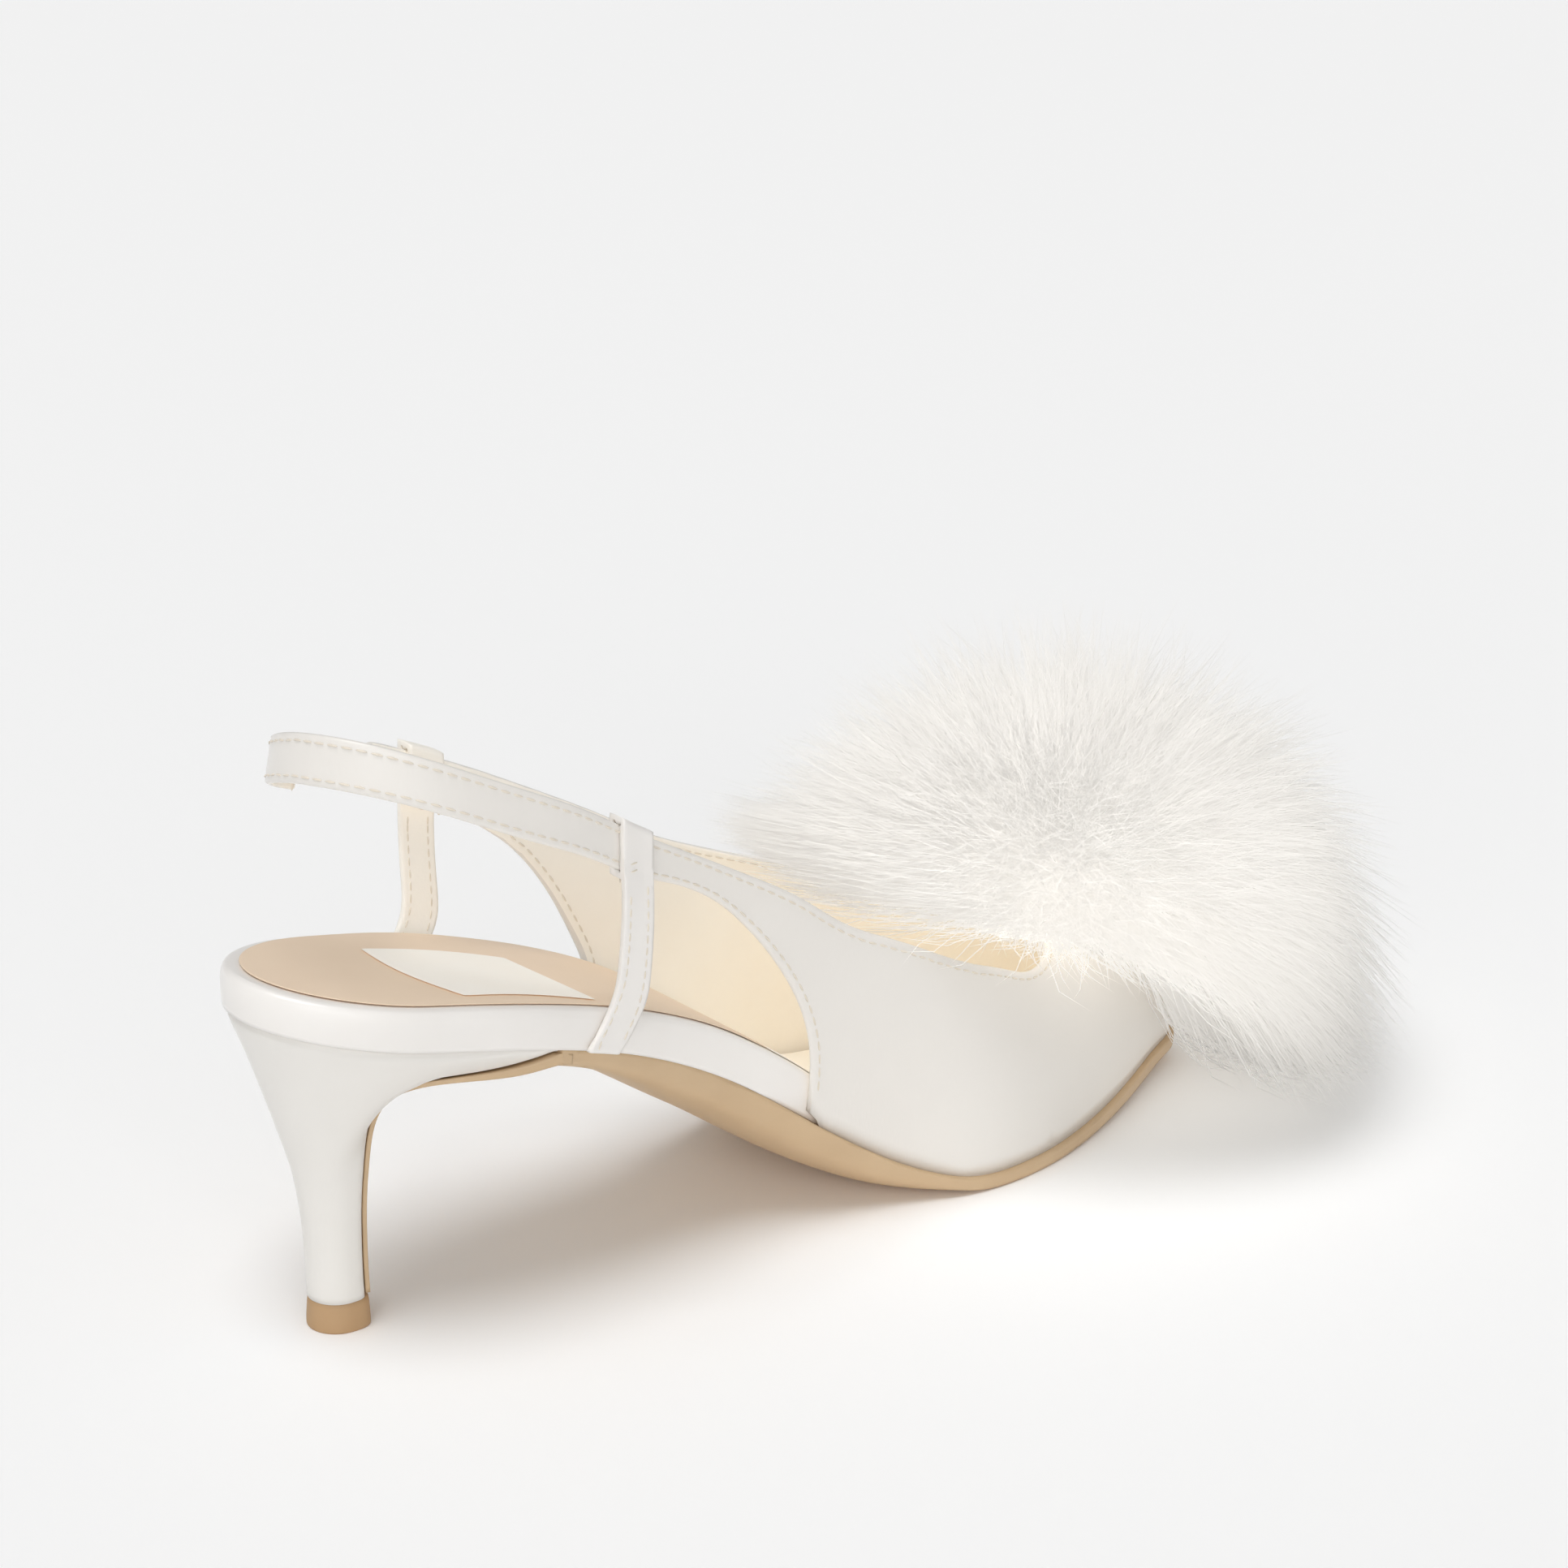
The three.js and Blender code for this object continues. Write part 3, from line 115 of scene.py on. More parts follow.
@dataclass(frozen=True)
class Finish:
    """One surface finish: what it is made of, its colours, its gloss and its pattern.

    tone is the second colour that slow patches drift to and also the colour of the glow,
    pattern_mm the size of the fine pattern, stretch how much longer than wide it is,
    relief_mm its depth, and patch_mm the size of the slow patches. The glow is painted
    light, emission from a surface that is no lamp, which brightens it where it lies in shade;
    it grows to a stronger glow at deep_place, within deep_reach metres, in a ball as flat
    as deep_flatness, painted light that brightens the shaded depths between the hairs.
    """

    name: str
    colour: str
    tone: str
    pattern: Pattern
    pattern_mm: float
    stretch: tuple[float, float, float] = (1.0, 1.0, 1.0)
    relief_mm: float = 0.03
    patch_mm: float = 18.0
    patch_relief_mm: float = 0.0
    roughness: float = 0.5
    roughness_drift: float = 0.08
    ior: float = 1.5
    sheen: float = 0.0
    sheen_roughness: float = 0.4
    coat: float = 0.0
    coat_roughness: float = 0.3
    painted_glow: float = 0.0
    painted_deep_glow: float = 0.0
    deep_place: tuple[float, float, float] = (0.0, 0.0, 0.0)
    deep_reach: tuple[float, float] = (0.03, 0.08)
    deep_flatness: float = 1.7

    def material(self) -> bpy.types.Material:
        """Returns the finish's material, made the first time that it is asked for."""
        made = bpy.data.materials.get(self.name)
        return made or self._make()

    def _make(self) -> bpy.types.Material:
        """Builds the node tree: patches of tone, then roughness, then relief."""
        material = bpy.data.materials.new(self.name)
        material.use_nodes = True
        tree = material.node_tree
        shader = tree.nodes["Principled BSDF"]
        # The emission set here is painted light: the surface glows, though it is no lamp, to
        # brighten its shade.
        constants = {
            "IOR": self.ior,
            "Sheen Weight": self.sheen,
            "Sheen Roughness": self.sheen_roughness,
            "Coat Weight": self.coat,
            "Coat Roughness": self.coat_roughness,
            "Emission Color": linear(self.tone),
            "Emission Strength": self.painted_glow,
        }
        for name, value in constants.items():
            shader.inputs[name].default_value = value
        where = add_node(tree, "ShaderNodeTexCoord").outputs["Object"]
        patches = add_node(
            tree, "ShaderNodeTexNoise",
            values={"Scale": 1 / (self.patch_mm * MM), "Detail": 2.0},
            links={"Vector": where},
        ).outputs["Fac"]
        tint = add_node(
            tree, "ShaderNodeMix",
            settings={"data_type": "RGBA"},
            values={6: linear(self.colour), 7: linear(self.tone)},
            links={0: patches},
        ).outputs[2]
        fine = self._pattern(tree, where)
        gloss = add_node(
            tree, "ShaderNodeMapRange",
            values={
                "To Min": self.roughness - self.roughness_drift,
                "To Max": self.roughness + self.roughness_drift,
            },
            links={"Value": patches},
        ).outputs["Result"]
        slow = add_node(
            tree, "ShaderNodeBump",
            values={"Strength": 1.0, "Distance": self.patch_relief_mm * MM},
            links={"Height": patches},
        ).outputs["Normal"]
        relief = add_node(
            tree, "ShaderNodeBump",
            values={"Strength": 1.0, "Distance": self.relief_mm * MM},
            links={"Height": fine, "Normal": slow},
        ).outputs["Normal"]
        tree.links.new(tint, shader.inputs["Base Color"])
        tree.links.new(gloss, shader.inputs["Roughness"])
        tree.links.new(relief, shader.inputs["Normal"])
        if self.painted_deep_glow:
            self._paint_deep_glow(tree, where)
        return material

    def _paint_deep_glow(self, tree: bpy.types.NodeTree, where: bpy.types.NodeSocket) -> None:
        """Paints a glow that grows with the depth in the fur: painted light for the shaded depths
        between the hairs.

        Args:
            tree: The material's node tree.
            where: The object coordinates.
        """
        offset = add_node(
            tree, "ShaderNodeVectorMath", settings={"operation": "SUBTRACT"},
            values={1: self.deep_place}, links={0: where},
        ).outputs[0]
        flat = add_node(
            tree, "ShaderNodeVectorMath", settings={"operation": "MULTIPLY"},
            values={1: (1.0, 1.0, self.deep_flatness)}, links={0: offset},
        ).outputs[0]
        depth = add_node(
            tree, "ShaderNodeVectorMath", settings={"operation": "LENGTH"}, links={0: flat},
        ).outputs["Value"]
        amount = add_node(
            tree, "ShaderNodeMapRange",
            values={
                "From Min": self.deep_reach[0], "From Max": self.deep_reach[1],
                "To Min": self.painted_deep_glow, "To Max": self.painted_glow,
            },
            links={"Value": depth},
        ).outputs["Result"]
        tree.links.new(amount, tree.nodes["Principled BSDF"].inputs["Emission Strength"])

    def _pattern(
        self, tree: bpy.types.NodeTree, where: bpy.types.NodeSocket
    ) -> bpy.types.NodeSocket:
        """Adds the fine pattern as a height.

        Args:
            tree: The material's node tree.
            where: The object's coordinates.

        Returns:
            The pattern's height socket.
        """
        scale = 1 / (self.pattern_mm * MM)
        mapped = add_node(
            tree, "ShaderNodeMapping",
            values={"Scale": self.stretch},
            links={"Vector": where},
        ).outputs["Vector"]
        if self.pattern is Pattern.GRAIN:
            return add_node(
                tree, "ShaderNodeTexVoronoi",
                settings={"feature": "SMOOTH_F1"},
                values={"Scale": scale},
                links={"Vector": mapped},
            ).outputs["Distance"]
        if self.pattern is Pattern.RIB:
            return add_node(
                tree, "ShaderNodeTexWave",
                settings={"bands_direction": "Z"},
                values={"Scale": scale / 3.0, "Distortion": 0.4},
                links={"Vector": mapped},
            ).outputs["Fac"]
        detail = 1.0 if self.pattern is Pattern.WEAVE else 4.0
        return add_node(
            tree, "ShaderNodeTexNoise",
            values={"Scale": scale, "Detail": detail},
            links={"Vector": mapped},
        ).outputs["Fac"]


# Duchess satin, woven with long floats: a smooth cloth with a soft, broad gloss. Its
# threads are 0.1 mm apart, too fine to show, so they are drawn 0.45 mm wide.
SATIN = Finish(
    "ivory_satin", "E8E4DE", "ECE8E2", Pattern.WEAVE, 0.45, stretch=(1.0, 1.0, 0.22),
    relief_mm=0.02, patch_mm=22.0, patch_relief_mm=0.25, roughness=0.38,
    sheen=0.2, sheen_roughness=0.35, coat=0.35, coat_roughness=0.24,
)
# The same satin pulled tight and glued round the board, so it shines more.
BOARD_SATIN = Finish(
    "glossy_board_satin", "F0ECE7", "F4F1ED", Pattern.WEAVE, 0.45, stretch=(0.22, 1.0, 1.0),
    relief_mm=0.012, patch_mm=14.0, roughness=0.32, roughness_drift=0.03,
    sheen=0.15, sheen_roughness=0.3, coat=0.35, coat_roughness=0.32,
)
# Satin pulled over the heel block, tight and even.
HEEL_SATIN = Finish(
    "tight_heel_satin", "E7E4DE", "EBE8E3", Pattern.WEAVE, 0.45, stretch=(1.0, 1.0, 0.22),
    relief_mm=0.012, patch_mm=16.0, patch_relief_mm=0.06, roughness=0.36,
    sheen=0.2, sheen_roughness=0.3,
)
# Kid lining leather, dyed cream: fine pores 0.7 mm apart and a dull surface.
# Its glow is painted light that brightens the lining where it lies in shade inside the shoe.
LINING = Finish(
    "lining_leather", "F6F0E5", "F9F5EC", Pattern.GRAIN, 0.7, relief_mm=0.02,
    patch_mm=9.0, patch_relief_mm=0.1, roughness=0.58, sheen=0.05, painted_glow=0.06,
)
# Beige sock leather, smooth and slightly waxed.
SOCK_LEATHER = Finish(
    "sock_leather", "EED6BB", "F2DCC3", Pattern.GRAIN, 0.6, relief_mm=0.02,
    patch_mm=11.0, patch_relief_mm=0.08, roughness=0.5,
)
# Cream leather of the forepart's sock and of the patch at the heel.
CREAM_LEATHER = Finish(
    # Its glow is painted light that brightens the leather where it lies in shade.
    "cream_sock_leather", "F9F3E8", "FBF7EF", Pattern.GRAIN, 0.6, relief_mm=0.02,
    patch_mm=11.0, patch_relief_mm=0.08, roughness=0.55, painted_glow=0.06,
)
# Vegetable tanned sole leather, rolled and polished: long pale streaks, a tight grain.
SOLE_LEATHER = Finish(
    "tanned_sole_leather", "C4A782", "D2B793", Pattern.CUT, 0.9, stretch=(0.25, 1.0, 1.0),
    relief_mm=0.03, patch_mm=14.0, roughness=0.42, roughness_drift=0.1, coat=0.1,
)
# Moulded polyurethane top piece: matt, with a fine moulded texture.
TOP_PIECE = Finish(
    "top_piece_rubber", "B5926A", "BC9B74", Pattern.CUT, 0.4, relief_mm=0.02,
    patch_mm=4.0, roughness=0.6,
)
# Woven elastic, covered rubber cords 0.9 mm apart that show as ribs.
ELASTIC = Finish(
    "woven_elastic", "EBE3D5", "F0E9DD", Pattern.RIB, 0.9, relief_mm=0.12,
    patch_mm=6.0, roughness=0.75, sheen=0.2,
)
# Twisted polyester sewing thread with a soft shine.
# Its colour is the thread's own ivory darkened a little below the satin's: painted shade for the
# small shadows at the stitch dents.
THREAD_WITH_PAINTED_SHADE = Finish(
    "sewing_thread", "EAE1D3", "E4DACA", Pattern.WEAVE, 0.25, relief_mm=0.03,
    patch_mm=5.0, roughness=0.45, sheen=0.2,
)
# White to ivory fur, brushed: its glow is painted light that brightens the hairs, most of all in
# the middle, where they grow closest and shade each other.
FUR = Finish(
    "brushed_fur", "F4F0E9", "F8F5F0", Pattern.HAIR, 1.5, relief_mm=0.0,
    patch_mm=16.0, roughness=0.8, roughness_drift=0.05, sheen=0.2, sheen_roughness=0.6,
    painted_glow=0.3, painted_deep_glow=0.6, deep_place=(0.19, -0.002, 0.05),
)


def node_form(name: str, merge_mm: float = 0.004) -> bmesh.types.BMesh:
    """Copies a solid of the frame as merged quads.

    Args:
        name: The CAD node.
        merge_mm: Vertices closer than this are merged.

    Returns:
        The solid as a closed bmesh.
    """
    form = bmesh.new()
    form.from_mesh(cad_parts[name].data)
    bmesh.ops.remove_doubles(form, verts=form.verts, dist=merge_mm * MM)
    bmesh.ops.join_triangles(
        form, faces=form.faces,
        angle_face_threshold=math.radians(35), angle_shape_threshold=math.radians(70),
    )
    form.normal_update()
    return form


def crease_sharp(form: bmesh.types.BMesh, angle: float, amount: float) -> None:
    """Creases the edges that turn by more than an angle, so that smoothing keeps them.

    Args:
        form: The mesh.
        angle: The smallest turn to keep, in degrees.
        amount: The crease, from 0 to 1.
    """
    layer = form.edges.layers.float.new("crease_edge")
    for edge in form.edges:
        if len(edge.link_faces) == 2 and edge.calc_face_angle(0.0) > math.radians(angle):
            edge[layer] = amount


def smoothed(form: bmesh.types.BMesh, name: str, levels: int) -> bpy.types.Mesh:
    """Turns a form into a mesh refined by a Subdivision Surface.

    Args:
        form: The coarse mesh, which is freed.
        name: The name of the result.
        levels: Levels of subdivision.

    Returns:
        The refined mesh with smooth shading.
    """
    coarse = bpy.data.meshes.new(name)
    form.to_mesh(coarse)
    form.free()
    holder = bpy.data.objects.new(name, coarse)
    bpy.context.scene.collection.objects.link(holder)
    modifier = holder.modifiers.new("smooth", "SUBSURF")
    modifier.levels = levels
    modifier.render_levels = levels
    graph = bpy.context.evaluated_depsgraph_get()
    mesh = bpy.data.meshes.new_from_object(holder.evaluated_get(graph))
    bpy.data.objects.remove(holder)
    mesh.shade_smooth()
    return mesh


def close_gap(mesh: bpy.types.Mesh, other: BVHTree, reach_mm: float, leave_mm: float) -> None:
    """Moves the skin of a piece up to the piece that it is glued to.

    Args:
        mesh: The piece's refined mesh.
        other: The surface of the piece that it meets.
        reach_mm: Only vertices closer than this move.
        leave_mm: The space that is left.
    """
    for vert in mesh.vertices:
        spot, _, _, distance = other.find_nearest(vert.co, reach_mm * MM)
        if spot is not None and distance > leave_mm * MM:
            vert.co = spot + (vert.co - spot) * (leave_mm * MM / distance)


def lay_flat(mesh: bpy.types.Mesh, under: BVHTree, share: float, lift_mm: float) -> None:
    """Presses a thin piece down onto the surface that it is glued to.

    Args:
        mesh: The piece's refined mesh.
        under: The surface below it.
        share: The share of its height over the surface that stays.
        lift_mm: The space that is left under it.
    """
    for vert in mesh.vertices:
        hit = under.ray_cast(vert.co, Vector((0, 0, -1)), 4 * MM)
        if hit[0] is not None:
            vert.co.z = hit[0].z + lift_mm * MM + (vert.co.z - hit[0].z) * share


def place_piece(
    name: str,
    mesh: bpy.types.Mesh,
    finishes: list[Finish],
    stands_for: tuple[str, ...] = (),
) -> bpy.types.Object:
    """Adds a finished piece that rides on the shoe.

    Args:
        name: The piece's name.
        mesh: Its mesh, in place.
        finishes: One finish for each material slot.
        stands_for: The CAD nodes that it replaces.

    Returns:
        The new object.
    """
    piece = bpy.data.objects.new(name, mesh)
    mesh.name = name
    kept = [face.material_index for face in mesh.polygons]
    mesh.materials.clear()
    for finish in finishes:
        mesh.materials.append(finish.material())
    mesh.polygons.foreach_set("material_index", kept)
    bpy.context.scene.collection.objects.link(piece)
    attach(piece, "root")
    if stands_for:
        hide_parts(*stands_for)
    mesh.calc_loop_triangles()
    LOG.info("%s: %d triangles", name, len(mesh.loop_triangles))
    return piece


def surface_tree(mesh: bpy.types.Mesh, slots: set[int] | None = None) -> BVHTree:
    """Makes a search tree of a mesh's faces.

    Args:
        mesh: The mesh.
        slots: The material slots to keep, or None for all.

    Returns:
        The search tree.
    """
    corners = [tuple(v.co) for v in mesh.vertices]
    faces = [
        tuple(p.vertices) for p in mesh.polygons if slots is None or p.material_index in slots
    ]
    return BVHTree.FromPolygons(corners, faces)


def copies(template: bmesh.types.BMesh, places: list[Matrix], name: str) -> bpy.types.Mesh:
    """Repeats a small shape at many places in one mesh.

    Args:
        template: The shape, which is freed.
        places: One matrix for each copy.
        name: The mesh's name.

    Returns:
        The mesh of all the copies.
    """
    single = bpy.data.meshes.new("template")
    template.to_mesh(single)
    template.free()
    whole = bmesh.new()
    for matrix in places:
        start = len(whole.verts)
        whole.from_mesh(single)
        whole.verts.ensure_lookup_table()
        bmesh.ops.transform(whole, matrix=matrix, verts=whole.verts[start:])
    mesh = bpy.data.meshes.new(name)
    whole.to_mesh(mesh)
    whole.free()
    bpy.data.meshes.remove(single)
    mesh.shade_smooth()
    return mesh


def spaced(points: list[Vector], pitch: float) -> list[Vector]:
    """Walks along a line of points in equal steps.

    Args:
        points: The line.
        pitch: The step, in metres.

    Returns:
        Points that far apart along the line.
    """
    found = [points[0].copy()]
    left = pitch
    for a, b in zip(points, points[1:]):
        span = (b - a).length
        done = 0.0
        while span - done >= left:
            done += left
            found.append(a.lerp(b, done / span))
            left = pitch
        left -= span - done
    return found


@dataclass
class StitchLine:
    """A row of lockstitches laid on a surface."""

    pitch_mm: float = 3.0
    length_mm: float = 2.3
    radius_mm: float = 0.24
    sink_mm: float = 0.02

    def places(self, line: list[Vector], tree: BVHTree) -> list[Matrix]:
        """Finds where each stitch lies.

        Args:
            line: The row's course, near the surface.
            tree: The surface.

        Returns:
            One matrix for each stitch.
        """
        marks = spaced(line, self.pitch_mm * MM)
        matrices = []
        for a, b in zip(marks, marks[1:]):
            middle = (a + b) / 2
            spot, normal, _, _ = tree.find_nearest(middle)
            along = (b - a) - normal * (b - a).dot(normal)
            if spot is None or along.length < 1e-6:
                continue
            along.normalize()
            turn = Matrix((along, normal.cross(along), normal)).transposed().to_4x4()
            size = Matrix.Diagonal((self.length_mm / 2, self.radius_mm, self.radius_mm, 1.0))
            spot = spot + normal * (self.radius_mm * 0.35 - self.sink_mm) * MM
            matrices.append(Matrix.Translation(spot) @ turn @ (size @ Matrix.Scale(1, 4)))
        return matrices

    def mesh(self, places: list[Matrix], name: str) -> bpy.types.Mesh:
        """Makes the row's mesh from small rounded stitches.

        Args:
            places: One matrix for each stitch, in millimetres of size.
            name: The mesh's name.

        Returns:
            The mesh.
        """
        stitch = bmesh.new()
        bmesh.ops.create_uvsphere(stitch, u_segments=6, v_segments=5, radius=1.0)
        turn = Matrix.Rotation(math.pi / 2, 4, "Y")
        bmesh.ops.transform(stitch, matrix=Matrix.Scale(MM, 4) @ turn, verts=stitch.verts)
        return copies(stitch, places, name)


@dataclass
class Upper:
    """The satin upper with its lining: vamp, wings and sling in one shell.

    Faces that turn by less than smooth_turn degrees lie on one side of the wall, and a
    side smaller than a square of wall_side_mm is the folded edge. The strap runs round
    the heel behind strap_end; elsewhere the shell looks away from the foot's middle.
    """

    stitch_inset_mm: float = 1.5
    seam_reach_mm: float = 2.4
    smooth_turn: float = 42.0
    wall_side_mm: float = 40.0
    strap_end: float = 0.06
    heel_middle: float = 0.012
    strap_height: float = 0.09
    foot_height: float = 0.02
    levels: int = 2

    def faces(self, form: bmesh.types.BMesh) -> None:
        """Sorts the shell's faces into its outside, its lining and its folded edge.

        Args:
            form: The coarse shell.
        """
        smooth = math.radians(self.smooth_turn)
        reached: set[int] = set()
        for seed in form.faces:
            if seed.index in reached:
                continue
            stack = [seed]
            members = []
            reached.add(seed.index)
            while stack:
                face = stack.pop()
                members.append(face)
                for edge in face.edges:
                    if edge.calc_face_angle(math.pi) > smooth:
                        continue
                    for other in edge.link_faces:
                        if other.index not in reached:
                            reached.add(other.index)
                            stack.append(other)
            area = sum(f.calc_area() for f in members)
            facing = sum(self._side_of(f) * f.calc_area() for f in members) / max(area, 1e-12)
            kind = Face.EDGE
            if area > (self.wall_side_mm * MM) ** 2:
                kind = Face.OUTER if facing > 0 else Face.LINING
            for face in members:
                face.material_index = kind.value

    def _side_of(self, face: bmesh.types.BMFace) -> float:
        """Tells how far a face looks away from the foot's middle, from -1 to 1."""
        middle = face.calc_center_median()
        on_strap = middle.x < self.strap_end
        x = middle.x if middle.x > self.strap_end / 2 else self.heel_middle
        height = self.strap_height if on_strap else self.foot_height
        away = middle - Vector((x, 0.0, height))
        if on_strap:
            away.z = 0
        return face.normal.dot(away.normalized())

    def build(self) -> bpy.types.Object:
        """Makes the shell, its stitches and its edge rows.

        Returns:
            The upper's object.
        """
        sole = surface_tree(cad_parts["outsole"].data)
        form = node_form("upper")
        self.faces(form)
        self.sharpen_lasted_edge(form, sole)
        mesh = smoothed(form, "upper_shell", self.levels)
        close_gap(mesh, sole, 0.8, 0.05)
        upper = place_piece("upper_shell", mesh, [SATIN, LINING, SATIN], ("upper",))
        rows: list[Matrix] = []
        stitches = StitchLine()
        for kind in (Face.OUTER, Face.LINING):
            tree = surface_tree(mesh, {kind.value})
            for line in self.edge_lines(mesh, kind, sole):
                rows += stitches.places(line, tree)
        thread = stitches.mesh(rows, "edge_stitches")
        place_piece("edge_stitches", thread, [THREAD_WITH_PAINTED_SHADE])
        return upper

    def sharpen_lasted_edge(self, form: bmesh.types.BMesh, sole: BVHTree) -> None:
        """Keeps the edge that is glued to the sole sharp, with its two corners.

        Args:
            form: The coarse shell.
            sole: The outsole's surface.
        """
        layer = form.edges.layers.float.new("crease_edge")
        corner = form.verts.layers.float.new("crease_vert")
        for edge in form.edges:
            close = [sole.find_nearest(v.co)[3] < self.seam_reach_mm * MM for v in edge.verts]
            sharp = len(edge.link_faces) == 2 and edge.calc_face_angle(0.0) > math.radians(45)
            if all(close) and sharp:
                edge[layer] = 1.0
            elif any(close) and sharp:
                edge.verts[close.index(True)][corner] = 1.0

    def edge_lines(
        self, mesh: bpy.types.Mesh, kind: Face, sole: BVHTree
    ) -> list[list[Vector]]:
        """Finds lines that run beside the free edges of one side of the shell.

        Args:
            mesh: The refined shell.
            kind: The side that the lines lie on.
            sole: The outsole, beside which the edge is lasted and has no row.

        Returns:
            The lines, each a list of points.
        """
        form = bmesh.new()
        form.from_mesh(mesh)
        rim = {Face.EDGE.value, kind.value}
        step: dict[int, list[bmesh.types.BMVert]] = {}
        inward: dict[int, Vector] = {}
        for edge in form.edges:
            slots = {f.material_index for f in edge.link_faces}
            if len(edge.link_faces) == 2 and slots == rim:
                a, b = edge.verts
                step.setdefault(a.index, []).append(b)
                step.setdefault(b.index, []).append(a)
                face = next(f for f in edge.link_faces if f.material_index == kind.value)
                along = (b.co - a.co).normalized()
                way = face.calc_center_median() - (a.co + b.co) / 2
                way -= along * way.dot(along)
                for vert in (a, b):
                    inward[vert.index] = inward.get(vert.index, Vector()) + way.normalized()
        form.verts.ensure_lookup_table()
        lines = []
        seen: set[int] = set()
        for first in step:
            if first in seen:
                continue
            loop = [form.verts[first]]
            seen.add(first)
            while True:
                following = [v for v in step[loop[-1].index] if v.index not in seen]
                if not following:
                    break
                seen.add(following[0].index)
                loop.append(following[0])
            line: list[Vector] = []
            for vert in loop + loop[:1]:
                hit = sole.find_nearest(vert.co)
                if hit[3] < self.seam_reach_mm * MM:
                    if len(line) > 4:
                        lines.append(line)
                    line = []
                    continue
                line.append(vert.co + inward[vert.index].normalized() * self.stitch_inset_mm * MM)
            if len(line) > 4:
                lines.append(line)
        form.free()
        return lines


@dataclass
class Bottom:
    """The footbed, its socks, the outsole, the heel and its top piece.

    The rear sock is trimmed to a share of its width, and of its length behind
    sock_heel, so that a rim of satin shows outside it.
    """

    levels: int = 2
    glue_mm: float = 0.05
    seam_mm: float = 0.5
    groove_width_mm: float = 1.4
    groove_depth_mm: float = 0.9
    sock_middle: float = 0.001
    sock_heel: float = 0.035
    sock_trim: float = 0.968
    sock_press: float = 0.3
    pad_press: float = 0.12

    def build(self) -> list[bpy.types.Object]:
        """Makes each piece of the bottom from its solid.

        Returns:
            The pieces.
        """
        board = self.smooth("footbed", "footbed_board", [BOARD_SATIN], "board_satin", 60, 1.0)
        sole = self.smooth("outsole", "leather_outsole", [SOLE_LEATHER], "sole_leather", 45, 1.0)
        heel = self.smooth("heel", "covered_heel", [HEEL_SATIN], "heel_satin", 50, 1.0)
        tip = self.smooth("top_piece", "heel_top_piece", [TOP_PIECE], "top_piece", 50, 0.85)
        sock = self.smooth("sock_lining", "rear_sock", [SOCK_LEATHER], "beige_leather", 50, 0.9)
        fore = self.smooth("forepart_sock", "fore_sock", [CREAM_LEATHER], "cream_leather", 50, 0.9)
        pad = self.smooth("sock_pad", "heel_patch", [CREAM_LEATHER], "cream_leather", 50, 0.95)
        glued = (
            (sole, board, self.glue_mm), (heel, board, self.seam_mm), (tip, heel, self.glue_mm),
        )
        for piece, on, leave in glued:
            close_gap(piece.data, surface_tree(on.data), self.seam_mm, leave)
        self.groove(heel.data, surface_tree(board.data))
        for vert in sock.data.vertices:
            vert.co.y = self.sock_middle + (vert.co.y - self.sock_middle) * self.sock_trim
            if vert.co.x < self.sock_heel:
                vert.co.x = self.sock_heel + (vert.co.x - self.sock_heel) * self.sock_trim
        pressed = (
            (sock, board, self.sock_press), (fore, board, self.sock_press),
            (pad, sock, self.pad_press),
        )
        for piece, on, share in pressed:
            lay_flat(piece.data, surface_tree(on.data), share, self.glue_mm)
        return [board, sock, fore, pad, heel, tip, sole]

    def groove(self, mesh: bpy.types.Mesh, board: BVHTree) -> None:
        """Draws the heel's upper rim in, so that a dark line parts it from the board.

        Args:
            mesh: The heel's refined mesh, changed in place.
            board: The board's surface.
        """
        ways = [vert.normal.copy() for vert in mesh.vertices]
        for vert, way in zip(mesh.vertices, ways):
            distance = board.find_nearest(vert.co, 2 * self.groove_width_mm * MM)[3]
            if distance is None or abs(way.z) > 0.9:
                continue
            share = max(0.0, 1 - distance / (self.groove_width_mm * MM))
            vert.co -= Vector((way.x, way.y, 0)) * share * self.groove_depth_mm * MM

    def smooth(
        self, node: str, name: str, finishes: list[Finish], slot: str, angle: float, crease: float
    ) -> bpy.types.Object:
        """Refines one solid and keeps its sharp edges.

        Args:
            node: The CAD node.
            name: The new piece's name.
            finishes: Its finishes.
            slot: Not used.
            angle: Edges that turn by more than this many degrees stay sharp.
            crease: How sharp, from 0 to 1.

        Returns:
            The piece.
        """
        form = node_form(node)
        crease_sharp(form, angle, crease)
        return place_piece(name, smoothed(form, name, self.levels), finishes, (node,))


